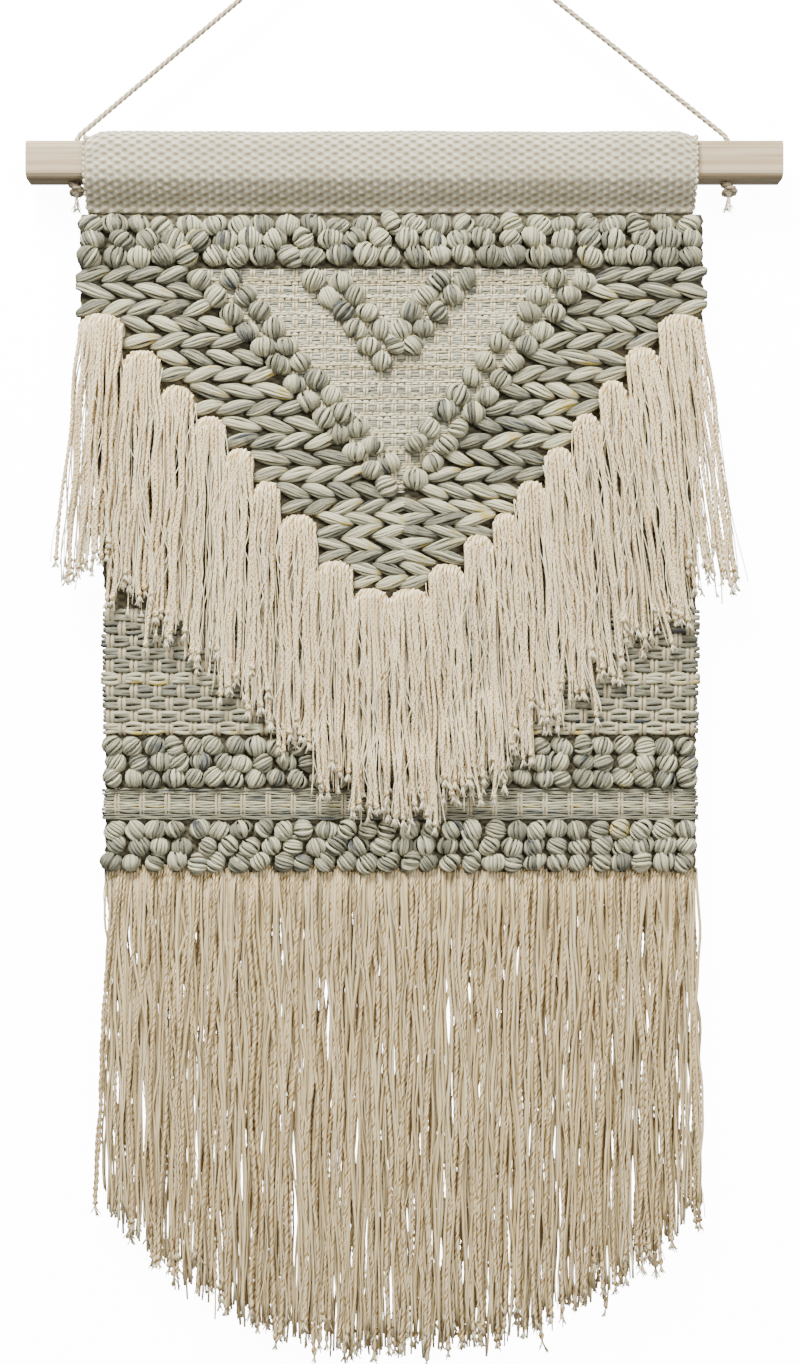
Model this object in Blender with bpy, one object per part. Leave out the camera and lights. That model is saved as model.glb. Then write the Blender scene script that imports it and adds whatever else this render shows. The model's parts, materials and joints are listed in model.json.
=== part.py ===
"""Tapestry wall hanging. A square pine batten hangs level from a knotted cotton cord. A woven sleeve slides
on the batten, the woven panel hangs from the sleeve's hem, and its tufts and lower fringe hang from the
panel. Metres. +X right, +Y towards the wall, +Z up. The origin is under the cord's top, where its nail is."""

import math

import bmesh
import bpy
from mathutils import Vector
from mathutils.geometry import interpolate_bezier

GAP = 0.0003  # between faces that touch

# Batten
ROD_LENGTH = 0.4905
ROD_SIDE = 0.0250
ROD_EDGE = 0.0050
ROD_LEFT = -0.2385
ROD_Z = -0.1870
HOLE_RADIUS = 0.0022  # of the two cord holes, which are where the cord's route ends

# Cord and its two stopper knots. The route runs from the left knot over the nail to the right knot
CORD_DIAMETER = 0.0035
CORD_STEP = 0.0090
CORD_ROUTE = [
    (-0.2073, 0, -0.1996), (-0.2073, 0, -0.1940), (-0.2073, 0, -0.1860), (-0.2073, 0, -0.1790),
    (-0.2072, 0, -0.1745), (-0.2064, 0, -0.1710), (-0.2042, 0, -0.1681), (-0.2000, 0, -0.1645),
    (-0.1800, 0, -0.1475), (-0.1350, 0, -0.1094), (-0.0900, 0, -0.0714), (-0.0400, 0, -0.0291),
    (-0.0150, 0, -0.0083), (-0.0052, 0, -0.0002), (-0.0027, 0, 0.0013), (0, 0, 0.00175),
    (0.0027, 0, 0.0013), (0.0051, 0, -0.0001), (0.0150, 0, -0.0080), (0.0400, 0, -0.0281),
    (0.0900, 0, -0.0682), (0.1400, 0, -0.1083), (0.1900, 0, -0.1484), (0.2100, 0, -0.1645),
    (0.2148, 0, -0.1684), (0.2173, 0, -0.1714), (0.2182, 0, -0.1748), (0.2184, 0, -0.1790),
    (0.2184, 0, -0.1860), (0.2184, 0, -0.1940), (0.2184, 0, -0.1996),
]
KNOT_RADIUS = 0.0054
KNOT_HEIGHT = 0.0090
TAIL_LENGTH = 0.0110
KNOT_SIDES = 10

# Sleeve. Each pair is a point inside the cloth and the point outside it, from the batten's axis
SLEEVE_LEFT = -0.2002
SLEEVE_RIGHT = 0.1957
SLEEVE_CLOTH = 0.0042
SLEEVE_ARCH = 0.0023
SLEEVE_END_DIP = 0.0012
SLEEVE_END_ROUND = 0.0100
SLEEVE_SLACK = 0.0008
SEAM_HALF = 0.0032
SEAM_DROP = 0.0209  # below the batten

# Woven panel. Its heights are depths below the line on which it hinges at the hem
CLOTH = 0.0030
HINGE_Z = ROD_Z - ROD_SIDE / 2 - SEAM_DROP - GAP - CLOTH / 2
FRONT = -CLOTH / 2 - GAP
PANEL_TOP_LEFT = -0.2048
PANEL_TOP_RIGHT = 0.2015
PANEL_LOW_LEFT = -0.1885
PANEL_LOW_RIGHT = 0.1970
PANEL_NARROWS_FROM = HINGE_Z - 0.0778
PANEL_NARROWS_TO = HINGE_Z - 0.2478
PANEL_BOTTOM = HINGE_Z - 0.4278

# Looped pile: rows and chains of bobbles
BOBBLE_PITCH = 0.0160
BOBBLE_RADIUS = 0.0056
BOBBLE_NECK = 0.0030
BOBBLE_DEPTH = 0.0100
TOP_LOOPS_Z = [HINGE_Z - depth for depth in (0.0057, 0.0165, 0.0273)]
MIDDLE_LOOPS_Z = [HINGE_Z - depth for depth in (0.3448, 0.3558, 0.3668)]
BOTTOM_LOOPS_Z = [HINGE_Z - depth for depth in (0.3994, 0.4104, 0.4214)]

# The chevrons, each a line from its upper end to its lower end, as x and depth
ROW_PITCH = 0.01086
FIRST_ROW_DEPTH = 0.0384
CHEVRONS = {
    "outer_v_left": ((-0.1290, FIRST_ROW_DEPTH), (-0.0020, 0.1798)),
    "inner_v_left": ((-0.1100, FIRST_ROW_DEPTH), (-0.0020, 0.1638)),
    "outer_v_right": ((0.1255, FIRST_ROW_DEPTH), (0.0125, 0.1753)),
    "inner_v_right": ((0.1070, FIRST_ROW_DEPTH), (0.0120, 0.1518)),
    "small_v_left": ((-0.0550, FIRST_ROW_DEPTH), (-0.0050, 0.0988)),
    "small_v_right": ((0.0490, FIRST_ROW_DEPTH), (0.0080, 0.0878)),
}
CHAIN_PITCH = 0.0144

# Braided rows beside and below the chevrons
SIDE_ROWS = ((1, 2, 3), (4, 5), (6, 7), (8, 9), (10, 11), (12, 13, 14))
CENTRE_ROWS = ((0, 1, 2, 3), (4, 5, 6))
CENTRE_FIRST_Z = HINGE_Z - 0.1894
CENTRE_PITCH = 0.0082
BRAID_DEPTH = 0.0067
BRAID_GROOVE = 0.0028
CHEVRON_CLEARANCE = 0.0092

# Wefts of the two plain bands
WEFT_DEPTH = 0.0025
WEFT_GROOVE = 0.0012
BASKET_TOP = HINGE_Z - 0.2563
BASKET_ROWS = 13
BASKET_PITCH = 0.0063
LADDER_TOP = HINGE_Z - 0.3728
LADDER_ROWS = 4
LADDER_PITCH = 0.0052

# Tufts: the top of each, as x and depth, from the outer edge to the middle. Lengths and leans run the same
# way, and a lean is the sideways run for each metre down
LEFT_TUFTS = [
    (-0.1879, 0.0646), (-0.1632, 0.0885), (-0.1404, 0.1113), (-0.1203, 0.1314), (-0.0988, 0.1522),
    (-0.0839, 0.1733), (-0.0644, 0.1951), (-0.0371, 0.2250), (-0.0169, 0.2432),
]
RIGHT_TUFTS = [
    (0.1827, 0.0651), (0.1599, 0.0862), (0.1411, 0.1080), (0.1255, 0.1295), (0.1079, 0.1516),
    (0.0878, 0.1730), (0.0722, 0.1938), (0.0566, 0.2081), (0.0345, 0.2270), (0.0111, 0.2432),
]
TUFT_KNOT_RADIUS = 0.0064
TUFT_SPACING = 0.0008
TUFT_THICKNESS = 0.0105
LEFT_TUFT_LENGTH = (0.165, 0.150)
RIGHT_TUFT_LENGTH = (0.176, 0.150)
LEFT_TUFT_LEAN = (-0.06, 0.03)
RIGHT_TUFT_LEAN = (0.16, 0.05)
TUFT_TAKE_OFF = 0.0060  # how far below its hinge a tuft has come forward of the wefts
TUFT_SWING = 0.0020  # how far in front of the wefts an outer tuft's end hangs

# Lower fringe: three sheaves of cords, whose cut ends follow a shallow arch
FRINGE_KNOT_RADIUS = 0.0040
FRINGE_HALF = 0.0070
FRINGE_SHEAVES = 3
FRINGE_SPACING = 0.0010
FRINGE_SIDE_DEPTH = 0.6428
FRINGE_MIDDLE_DEPTH = 0.7418

# Hem stitching
STITCH_RADIUS = 0.0006
STITCH_PITCH = 0.0100
STITCH_RISE = 0.0014  # above the seam's foot
STITCH_STAND_OFF = 0.0022  # behind it, clear of the slope of the cloth above


def clear_scene():
    for item in list(bpy.data.objects):
        bpy.data.objects.remove(item, do_unlink=True)


def material(name, colour, roughness):
    made = bpy.data.materials.new(name)
    made.use_nodes = True
    shader = made.node_tree.nodes["Principled BSDF"]
    shader.inputs["Base Color"].default_value = (*colour, 1)
    shader.inputs["Roughness"].default_value = roughness
    return made


def finish_mesh(name, mesh, finish, smooth=True):
    """The bmesh as one named object with its faces outwards."""
    bmesh.ops.recalc_face_normals(mesh, faces=mesh.faces)
    data = bpy.data.meshes.new(name)
    mesh.to_mesh(data)
    mesh.free()
    if smooth:
        data.shade_smooth()
        data.set_sharp_from_angle(angle=math.radians(40))
    data.materials.append(finish)
    made = bpy.data.objects.new(name, data)
    bpy.context.collection.objects.link(made)
    return made


def add_rings(mesh, rings):
    """Rings of equal count as vertices, with a band of faces between each ring and the next."""
    rows = [[mesh.verts.new(point) for point in ring] for ring in rings]
    for one, two in zip(rows, rows[1:]):
        for i in range(len(one)):
            j = (i + 1) % len(one)
            mesh.faces.new((one[i], one[j], two[j], two[i]))
    return rows


def loft(name, rings, finish):
    """A closed solid through rings, capped at both ends."""
    mesh = bmesh.new()
    rows = add_rings(mesh, rings)
    mesh.faces.new(rows[0])
    mesh.faces.new(rows[-1])
    return finish_mesh(name, mesh, finish)


def slab(name, stations, finish):
    """A flat solid from level sections, each (z, left, right, front, back)."""
    rings = [
        [(left, back, z), (left, front, z), (right, front, z), (right, back, z)]
        for z, left, right, front, back in stations
    ]
    return loft(name, rings, finish)


def rod(finish):
    """The batten, with its long edges eased and two upright cord holes."""
    mesh = bmesh.new()
    bmesh.ops.create_cube(mesh, size=1)
    for vert in mesh.verts:
        vert.co.x = ROD_LEFT + ROD_LENGTH * (vert.co.x + 0.5)
        vert.co.y *= ROD_SIDE
        vert.co.z = ROD_Z + vert.co.z * ROD_SIDE
    long_edges = [e for e in mesh.edges if abs(e.verts[0].co.x - e.verts[1].co.x) > ROD_LENGTH / 2]
    bmesh.ops.bevel(mesh, geom=long_edges, offset=ROD_EDGE, segments=4, profile=0.5, affect="EDGES")
    made = finish_mesh("rod", mesh, finish)
    for side, (x, _, _) in (("left", CORD_ROUTE[0]), ("right", CORD_ROUTE[-1])):
        bit = bmesh.new()
        bmesh.ops.create_cone(
            bit, cap_ends=True, segments=16, radius1=HOLE_RADIUS, radius2=HOLE_RADIUS, depth=2 * ROD_SIDE
        )
        bmesh.ops.translate(bit, verts=bit.verts, vec=(x, 0, ROD_Z))
        cutter = finish_mesh(f"{side}_hole_cutter", bit, finish)
        cutter.hide_render = True
        cutter.display_type = "WIRE"
        cut = made.modifiers.new(f"{side} hole", "BOOLEAN")
        cut.object = cutter
        cut.solver = "EXACT"
    return made


def smooth_route(points, step):
    """Points a step apart along a smooth curve through the route, whose tangents lie along the chords of its
    neighbouring points."""
    knots = [Vector(p) for p in points]
    dense = []
    for i in range(len(knots) - 1):
        here, there = knots[i], knots[i + 1]
        before, after = knots[max(i - 1, 0)], knots[min(i + 2, len(knots) - 1)]
        reach = (there - here).length / 3
        start = here + (there - before).normalized() * reach
        end = there - (after - here).normalized() * reach
        dense += interpolate_bezier(here, start, end, there, 12)[:-1]
    dense.append(knots[-1])
    length = sum((b - a).length for a, b in zip(dense, dense[1:]))
    count = round(length / step)
    picked, travelled, wanted = [dense[0]], 0, 1
    for a, b in zip(dense, dense[1:]):
        span = (b - a).length
        while wanted < count and travelled + span >= wanted * length / count:
            picked.append(a.lerp(b, (wanted * length / count - travelled) / span))
            wanted += 1
        travelled += span
    return picked + [dense[-1]]


def cord(finish):
    """The hanging cord as a round tube along its route."""
    path = smooth_route(CORD_ROUTE, CORD_STEP)
    curve = bpy.data.curves.new("hanging_cord", "CURVE")
    curve.dimensions = "3D"
    curve.bevel_depth = CORD_DIAMETER / 2
    curve.bevel_resolution = 2
    curve.use_fill_caps = True
    spline = curve.splines.new("POLY")
    spline.points.add(len(path) - 1)
    for spot, point in zip(spline.points, path):
        spot.co = (*point, 1)
    curve.materials.append(finish)
    made = bpy.data.objects.new("hanging_cord", curve)
    bpy.context.collection.objects.link(made)
    return made


def knot(name, x, finish):
    """A stopper knot under the batten, with its frayed tail below."""
    top = ROD_Z - ROD_SIDE / 2 - GAP
    waist = top - KNOT_HEIGHT
    outline = [
        (top, 0.45), (top - 0.13 * KNOT_HEIGHT, 0.85), (top - 0.42 * KNOT_HEIGHT, 1.0),
        (top - 0.75 * KNOT_HEIGHT, 0.82), (waist, 0.36),
        (waist - 0.35 * TAIL_LENGTH, 0.36), (waist - TAIL_LENGTH, 0.66),
    ]
    turns = [2 * math.pi * i / KNOT_SIDES for i in range(KNOT_SIDES)]
    rings = [
        [(x + share * KNOT_RADIUS * math.cos(a), share * KNOT_RADIUS * math.sin(a), z) for a in turns]
        for z, share in outline
    ]
    return loft(name, rings, finish)


def sleeve_section(arch):
    """The sleeve's inner and outer outlines in the y-z plane, from the seam round the front, top and back."""
    half = ROD_SIDE / 2
    inner_front = -half - SLEEVE_SLACK
    inner_back = half + SLEEVE_SLACK / 2
    cloth = SLEEVE_CLOTH
    top = half + 0.0017
    foot = half + SEAM_DROP
    inner = [
        (-0.0006, -foot + 0.0061), (-0.0018, -foot + 0.0075), (-0.0080, -half - 0.0075),
        (-half + 0.0005, -half - 0.0005), (inner_front, -half + 0.0055), (inner_front, half - 0.0065),
        (-half - 0.0005, half - 0.0040), (-half + 0.0009, half - 0.0009),
        (-half + 0.0055, top - 0.0002 + arch / 2), (0, top + arch),
        (half - 0.0055, top - 0.0002 + arch / 2), (half - 0.0009, half - 0.0009),
        (half + 0.0004, half - 0.0040), (inner_back, half - 0.0055),
        (inner_back, -half + 0.0045), (half - 0.0003, -half - 0.0010), (0.0075, -half - 0.0080),
        (0.0006, -foot + 0.0061),
    ]
    outer = [
        (-SEAM_HALF, -foot), (-SEAM_HALF - 0.0012, -foot + 0.0040), (-0.0112, -half - 0.0092),
        (-half - 0.0035, -half - 0.0022), (inner_front - cloth, -half + 0.0050),
        (inner_front - cloth, half - 0.0055), (-half - 0.0039, half - 0.0007),
        (-half - 0.0016, half + 0.0026), (-half + 0.0045, top + cloth - 0.0006 + arch / 2),
        (0, top + cloth + arch),
        (half - 0.0045, top + cloth - 0.0006 + arch / 2), (half + 0.0012, half + 0.0029),
        (half + 0.0036, half - 0.0005), (inner_back + cloth, half - 0.0050),
        (inner_back + cloth, -half + 0.0040), (half + 0.0030, -half - 0.0030),
        (0.0105, -half - 0.0105), (SEAM_HALF, -foot),
    ]
    return inner, outer


def sleeve(finish):
    """The woven tube round the batten, its ends a little lower where the cord passes over them."""
    stations = (
        (SLEEVE_LEFT, -SLEEVE_END_DIP), (SLEEVE_LEFT + SLEEVE_END_ROUND / 2, 0.4 * SLEEVE_ARCH),
        (SLEEVE_LEFT + SLEEVE_END_ROUND, SLEEVE_ARCH), (SLEEVE_RIGHT - SLEEVE_END_ROUND, SLEEVE_ARCH),
        (SLEEVE_RIGHT - SLEEVE_END_ROUND / 2, 0.4 * SLEEVE_ARCH), (SLEEVE_RIGHT, -SLEEVE_END_DIP),
    )
    mesh = bmesh.new()
    skins = []
    for which in (0, 1):
        rings = [[(x, y, ROD_Z + z) for y, z in sleeve_section(arch)[which]] for x, arch in stations]
        skins.append(add_rings(mesh, rings))
    for end in (0, -1):
        inner, outer = skins[0][end], skins[1][end]
        for i in range(len(inner)):
            j = (i + 1) % len(inner)
            mesh.faces.new((inner[i], inner[j], outer[j], outer[i]))
    return finish_mesh("rod_sleeve", mesh, finish)


def hem_stitching(finish):
    """The thread of the hem, a shallow wave laid on the back of the seam."""
    z = HINGE_Z + CLOTH / 2 + GAP + STITCH_RISE
    seat = SEAM_HALF + GAP + STITCH_STAND_OFF
    left, right = SLEEVE_LEFT + STITCH_PITCH, SLEEVE_RIGHT - STITCH_PITCH
    count = round((right - left) / STITCH_PITCH)
    rings = []
    for i in range(count + 1):
        x = left + (right - left) * i / count
        middle = z + (STITCH_RADIUS if i % 2 else -STITCH_RADIUS)
        rings.append([
            (x, seat + STITCH_RADIUS * math.cos(a), middle + STITCH_RADIUS * math.sin(a))
            for a in (0.25 * math.pi, 0.75 * math.pi, 1.25 * math.pi, 1.75 * math.pi)
        ])
    return loft("hem_stitching", rings, finish)


def panel_edge(z, top, low):
    """Where a side of the panel stands at a height: it draws in between two levels."""
    share = (PANEL_NARROWS_FROM - z) / (PANEL_NARROWS_FROM - PANEL_NARROWS_TO)
    return top + (low - top) * min(max(share, 0), 1)


def left_edge(z):
    return panel_edge(z, PANEL_TOP_LEFT, PANEL_LOW_LEFT)


def right_edge(z):
    return panel_edge(z, PANEL_TOP_RIGHT, PANEL_LOW_RIGHT)


def ground_cloth(finish):
    """The panel's cloth, its upper edge rounded about the hem's hinge line."""
    stations = []
    for angle in (75, 50, 25, 0):
        half = CLOTH / 2 * math.cos(math.radians(angle))
        z = HINGE_Z + CLOTH / 2 * math.sin(math.radians(angle))
        stations.append((z, left_edge(z), right_edge(z), -half, half))
    for z in (PANEL_NARROWS_FROM, PANEL_NARROWS_TO, PANEL_BOTTOM):
        stations.append((z, left_edge(z), right_edge(z), -CLOTH / 2, CLOTH / 2))
    return slab("ground_cloth", stations, finish)


def chain(name, start, end, pitch, shift, finish):
    """Bobbles on one yarn from start to end, as x and z: a hexagonal bar that swells at every bobble."""
    run = Vector((end[0] - start[0], 0, end[1] - start[1]))
    along = run.normalized()
    across = Vector((-along.z, 0, along.x))
    out = Vector((0, -1, 0))
    count = round(run.length / pitch)
    sizes = [BOBBLE_NECK, BOBBLE_RADIUS] * count + [BOBBLE_NECK]
    if shift:
        sizes = sizes[1:] + [BOBBLE_RADIUS]
    axis = Vector((start[0], FRONT - BOBBLE_DEPTH / 2, start[1]))
    rings = []
    for i, size in enumerate(sizes):
        middle = axis + run * (i / (len(sizes) - 1))
        depth = size * BOBBLE_DEPTH / 2 / BOBBLE_RADIUS
        angles = [math.pi / 6 + math.pi / 3 * k for k in range(6)]
        rings.append([middle + across * size * math.cos(a) + out * depth * math.sin(a) for a in angles])
    return loft(name, rings, finish)


def loop_rows(band, levels, finish):
    """Level rows of bobbles across the panel, every other row shifted by half a bobble."""
    for i, z in enumerate(levels):
        start, end = (left_edge(z) + BOBBLE_NECK, z), (right_edge(z) - BOBBLE_NECK, z)
        chain(f"{band}_loops_{i + 1}", start, end, BOBBLE_PITCH, i % 2, finish)


def line_x(name, z):
    """The x of a chevron's line, carried on past its ends, at a height."""
    (x0, depth0), (x1, depth1) = CHEVRONS[name]
    return x0 + (x1 - x0) * (HINGE_Z - z - depth0) / (depth1 - depth0)


def columns(tufts, outer):
    """The stretch of panel that each tuft hangs over, from the outer edge inwards, as pairs of x."""
    middle = (LEFT_TUFTS[-1][0] + RIGHT_TUFTS[-1][0]) / 2
    lines = [outer] + [(a[0] + b[0]) / 2 for a, b in zip(tufts, tufts[1:])] + [middle]
    return list(zip(lines, lines[1:]))


def row_limit(tufts, edge, bottom):
    """Where a braided row ends beside the tufts whose tops stand above the row's lower side."""
    limit = edge(bottom)
    for (_, depth), (_, inner) in zip(tufts, columns(tufts, edge(HINGE_Z - FIRST_ROW_DEPTH))):
        if HINGE_Z - depth + 1.5 * GAP > bottom:
            limit = inner
    return limit


def ridged(name, rows, half, depth, groove, finish):
    """Level rows, each a rounded ridge given as (z, left ends, right ends), with its ends at top and foot."""
    stations = []
    for z, lefts, rights in rows:
        for step, proud in ((1, groove), (0.45, depth), (-0.45, depth), (-1, groove)):
            height = z + step * (half - GAP / 2)
            share = (1 - step) / 2
            left = lefts[0] + (lefts[1] - lefts[0]) * share
            right = rights[0] + (rights[1] - rights[0]) * share
            stations.append((height, left, right, FRONT - proud, FRONT))
    return slab(name, stations, finish)


def side_braids(finish):
    """The braided rows on each side of the chevrons."""
    half = ROW_PITCH / 2
    for number, group in enumerate(SIDE_ROWS, 1):
        left_rows, right_rows = [], []
        for n in group:
            z = HINGE_Z - FIRST_ROW_DEPTH - (n - 1) * ROW_PITCH
            start = row_limit(LEFT_TUFTS, left_edge, z - half)
            stop = row_limit(RIGHT_TUFTS, right_edge, z - half)
            inner = [line_x("outer_v_left", level) - CHEVRON_CLEARANCE for level in (z + half, z - half)]
            left_rows.append((z, (start, start), inner))
            inner = [line_x("outer_v_right", level) + CHEVRON_CLEARANCE for level in (z + half, z - half)]
            right_rows.append((z, inner, (stop, stop)))
        ridged(f"left_braids_{number}", left_rows, half, BRAID_DEPTH, BRAID_GROOVE, finish)
        ridged(f"right_braids_{number}", right_rows, half, BRAID_DEPTH, BRAID_GROOVE, finish)


def centre_braids(finish):
    """The braided rows that run right across below the chevrons' point."""
    half = CENTRE_PITCH / 2
    for number, group in enumerate(CENTRE_ROWS, 1):
        rows = []
        for n in group:
            z = CENTRE_FIRST_Z - n * CENTRE_PITCH
            start = row_limit(LEFT_TUFTS, left_edge, z - half)
            stop = row_limit(RIGHT_TUFTS, right_edge, z - half)
            rows.append((z, (start, start), (stop, stop)))
        ridged(f"centre_braids_{number}", rows, half, BRAID_DEPTH, BRAID_GROOVE, finish)


def weft_band(name, top, count, pitch, finish):
    """A plain band of thick wefts across the panel."""
    rows = []
    for i in range(count):
        z = top - (i + 0.5) * pitch
        left, right = left_edge(z), right_edge(z)
        rows.append((z, (left, left), (right, right)))
    return ridged(name, rows, pitch / 2, WEFT_DEPTH, WEFT_GROOVE, finish)


def tufts(side, tops, edge, lengths, leans, finish):
    """Each tuft hangs from a round knot on its hinge line, and stands off the wefts and loops below."""
    outer = edge(HINGE_Z - tops[0][1])
    for i, ((left, right), (_, depth)) in enumerate(zip(columns(tops, outer), tops)):
        top = HINGE_Z - depth
        left, right = min(left, right) + TUFT_SPACING / 2, max(left, right) - TUFT_SPACING / 2
        share = i / (len(tops) - 1)
        length = lengths[0] + (lengths[1] - lengths[0]) * share
        lean = leans[0] + (leans[1] - leans[0]) * share
        knot_y = FRONT - TUFT_KNOT_RADIUS
        hinge = top - TUFT_KNOT_RADIUS
        stations = []
        for angle in (75, 50, 25, 0):
            half = TUFT_KNOT_RADIUS * math.cos(math.radians(angle))
            z = hinge + TUFT_KNOT_RADIUS * math.sin(math.radians(angle))
            stations.append((z, left, right, knot_y - half, knot_y + half))
        end = top - length
        loops_top = MIDDLE_LOOPS_Z[0] + BOBBLE_RADIUS
        take_off = FRONT - GAP - WEFT_DEPTH
        back = FRONT - GAP - (BOBBLE_DEPTH if end < loops_top else WEFT_DEPTH + TUFT_SWING)
        full = loops_top if end < loops_top else (hinge + end) / 2
        for z, rear in ((hinge - TUFT_TAKE_OFF, take_off), (full, back), (end, back)):
            shift = lean * (hinge - z)
            stations.append((z, left + shift, right + shift, rear - TUFT_THICKNESS, rear))
        slab(f"{side}_tuft_{i + 1}", stations, finish)


def fringe_end(x):
    """The height of the cut ends: an arch, lowest in the middle of the panel."""
    middle = (PANEL_LOW_LEFT + PANEL_LOW_RIGHT) / 2
    share = (x - middle) / ((PANEL_LOW_RIGHT - PANEL_LOW_LEFT) / 2)
    return HINGE_Z - FRINGE_MIDDLE_DEPTH + (FRINGE_MIDDLE_DEPTH - FRINGE_SIDE_DEPTH) * share * share


def lower_fringe(finish):
    """Sheaves of cords under the panel, their tops rounded about the panel's lower hinge line."""
    hinge = PANEL_BOTTOM - GAP - FRINGE_KNOT_RADIUS
    width = (PANEL_LOW_RIGHT - PANEL_LOW_LEFT) / FRINGE_SHEAVES
    points_across = 7
    for i in range(FRINGE_SHEAVES):
        left = PANEL_LOW_LEFT + width * i + FRINGE_SPACING / 2
        right = PANEL_LOW_LEFT + width * (i + 1) - FRINGE_SPACING / 2
        rings = []
        xs = [left + (right - left) * k / (points_across - 1) for k in range(points_across)]
        for angle in (75, 50, 25, 0):
            half = FRINGE_KNOT_RADIUS * math.cos(math.radians(angle))
            z = hinge + FRINGE_KNOT_RADIUS * math.sin(math.radians(angle))
            rings.append([(x, -half, z) for x in xs] + [(x, half, z) for x in reversed(xs)])
        for share, half in ((0.15, FRINGE_HALF), (1, FRINGE_HALF)):
            heights = [hinge + (fringe_end(x) - hinge) * share for x in xs]
            rings.append(
                [(x, -half, z) for x, z in zip(xs, heights)]
                + [(x, half, z) for x, z in zip(reversed(xs), reversed(heights))]
            )
        mesh = bmesh.new()
        rows = add_rings(mesh, rings)
        for ring in (rows[0], rows[-1]):
            for k in range(points_across - 1):
                mesh.faces.new((ring[k], ring[k + 1], ring[-2 - k], ring[-1 - k]))
        finish_mesh(f"lower_fringe_{i + 1}", mesh, finish)


def build():
    clear_scene()
    pine = material("pine", (0.58, 0.47, 0.31), 0.6)
    cotton = material("cotton_cord", (0.80, 0.76, 0.66), 0.9)
    cloth = material("natural_cloth", (0.60, 0.57, 0.46), 0.95)
    wool = material("grey_wool", (0.42, 0.41, 0.34), 0.95)
    fringe = material("cream_fringe", (0.72, 0.64, 0.48), 0.9)
    rod(pine)
    cord(cotton)
    knot("left_knot", CORD_ROUTE[0][0], cotton)
    knot("right_knot", CORD_ROUTE[-1][0], cotton)
    sleeve(cloth)
    hem_stitching(cotton)
    ground_cloth(cloth)
    loop_rows("top", TOP_LOOPS_Z, wool)
    loop_rows("middle", MIDDLE_LOOPS_Z, wool)
    loop_rows("bottom", BOTTOM_LOOPS_Z, wool)
    for name, ends in CHEVRONS.items():
        start, end = [(x, HINGE_Z - depth) for x, depth in ends]
        chain(name, start, end, CHAIN_PITCH, 0, wool)
    side_braids(wool)
    centre_braids(wool)
    weft_band("basket_weft", BASKET_TOP, BASKET_ROWS, BASKET_PITCH, wool)
    weft_band("ladder_weft", LADDER_TOP, LADDER_ROWS, LADDER_PITCH, wool)
    tufts("left", LEFT_TUFTS, left_edge, LEFT_TUFT_LENGTH, LEFT_TUFT_LEAN, fringe)
    tufts("right", RIGHT_TUFTS, right_edge, RIGHT_TUFT_LENGTH, RIGHT_TUFT_LEAN, fringe)
    lower_fringe(fringe)


build()
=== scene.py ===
"""Looks of the tapestry wall hanging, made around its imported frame.

Every yarn is a tube carried along its own path. Paths, radii and colours are worked out as whole arrays,
and the tubes of one piece share one mesh. Metres, +X right, +Y towards the wall, +Z up."""

import json
import math

import bmesh
import bpy
import numpy as np
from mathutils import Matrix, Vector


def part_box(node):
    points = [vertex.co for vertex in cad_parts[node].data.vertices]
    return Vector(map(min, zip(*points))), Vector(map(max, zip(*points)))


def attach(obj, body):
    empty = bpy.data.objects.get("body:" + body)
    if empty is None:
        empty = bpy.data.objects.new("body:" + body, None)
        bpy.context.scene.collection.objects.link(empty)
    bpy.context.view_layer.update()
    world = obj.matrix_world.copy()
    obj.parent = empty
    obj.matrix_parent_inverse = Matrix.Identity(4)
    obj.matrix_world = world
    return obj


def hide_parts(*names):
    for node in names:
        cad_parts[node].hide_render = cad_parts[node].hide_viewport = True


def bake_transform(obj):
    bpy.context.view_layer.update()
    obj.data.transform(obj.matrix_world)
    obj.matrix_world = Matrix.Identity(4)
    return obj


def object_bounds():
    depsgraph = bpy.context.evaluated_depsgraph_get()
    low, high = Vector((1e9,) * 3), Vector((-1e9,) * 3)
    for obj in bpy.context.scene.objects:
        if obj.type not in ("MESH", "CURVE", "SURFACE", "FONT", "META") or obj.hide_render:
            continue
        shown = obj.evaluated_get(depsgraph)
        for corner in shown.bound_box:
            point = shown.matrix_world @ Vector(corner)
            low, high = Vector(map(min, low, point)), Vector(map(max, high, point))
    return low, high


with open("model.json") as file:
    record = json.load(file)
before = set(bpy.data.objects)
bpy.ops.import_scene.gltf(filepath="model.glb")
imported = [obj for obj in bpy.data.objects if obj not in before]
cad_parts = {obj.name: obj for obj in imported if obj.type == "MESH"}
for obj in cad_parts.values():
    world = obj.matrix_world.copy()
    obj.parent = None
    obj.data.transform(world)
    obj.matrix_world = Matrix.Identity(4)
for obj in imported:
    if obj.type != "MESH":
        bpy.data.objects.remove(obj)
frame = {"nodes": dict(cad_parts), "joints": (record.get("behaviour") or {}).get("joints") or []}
cad_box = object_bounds()

MM = 0.001
TAU = 2 * math.pi
WELD = 1e-6  # points of one shell that meet
PLY_FLOOR = 0.55  # how far in a twisted yarn's grooves are, as a share of its radius
RNG = np.random.default_rng(20)

# Places read from the frame
rod_low, rod_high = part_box("rod")
sleeve_low, sleeve_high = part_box("rod_sleeve")
cloth_low, cloth_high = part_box("ground_cloth")
joint_at = {j["name"]: j.get("pos_m") for j in frame["joints"]}
ROD_Z = (rod_low.z + rod_high.z) / 2
HALF_ROD = (rod_high.z - rod_low.z) / 2
FRONT = cloth_low.y  # the panel cloth's front face
HEM_Z = joint_at["panel_swing"][2]
SEAM_Z = sleeve_low.z
BOTTOM_Z = cloth_low.z


# ---- Arrays ----


def unit(v):
    """Each vector of an array divided by its length."""
    return v / np.maximum(np.linalg.norm(v, axis=-1, keepdims=True), 1e-12)


def smooth(t):
    """The smooth step 3t^2 - 2t^3 of a share clipped to 0..1."""
    t = np.clip(t, 0, 1)
    return t * t * (3 - 2 * t)


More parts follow.
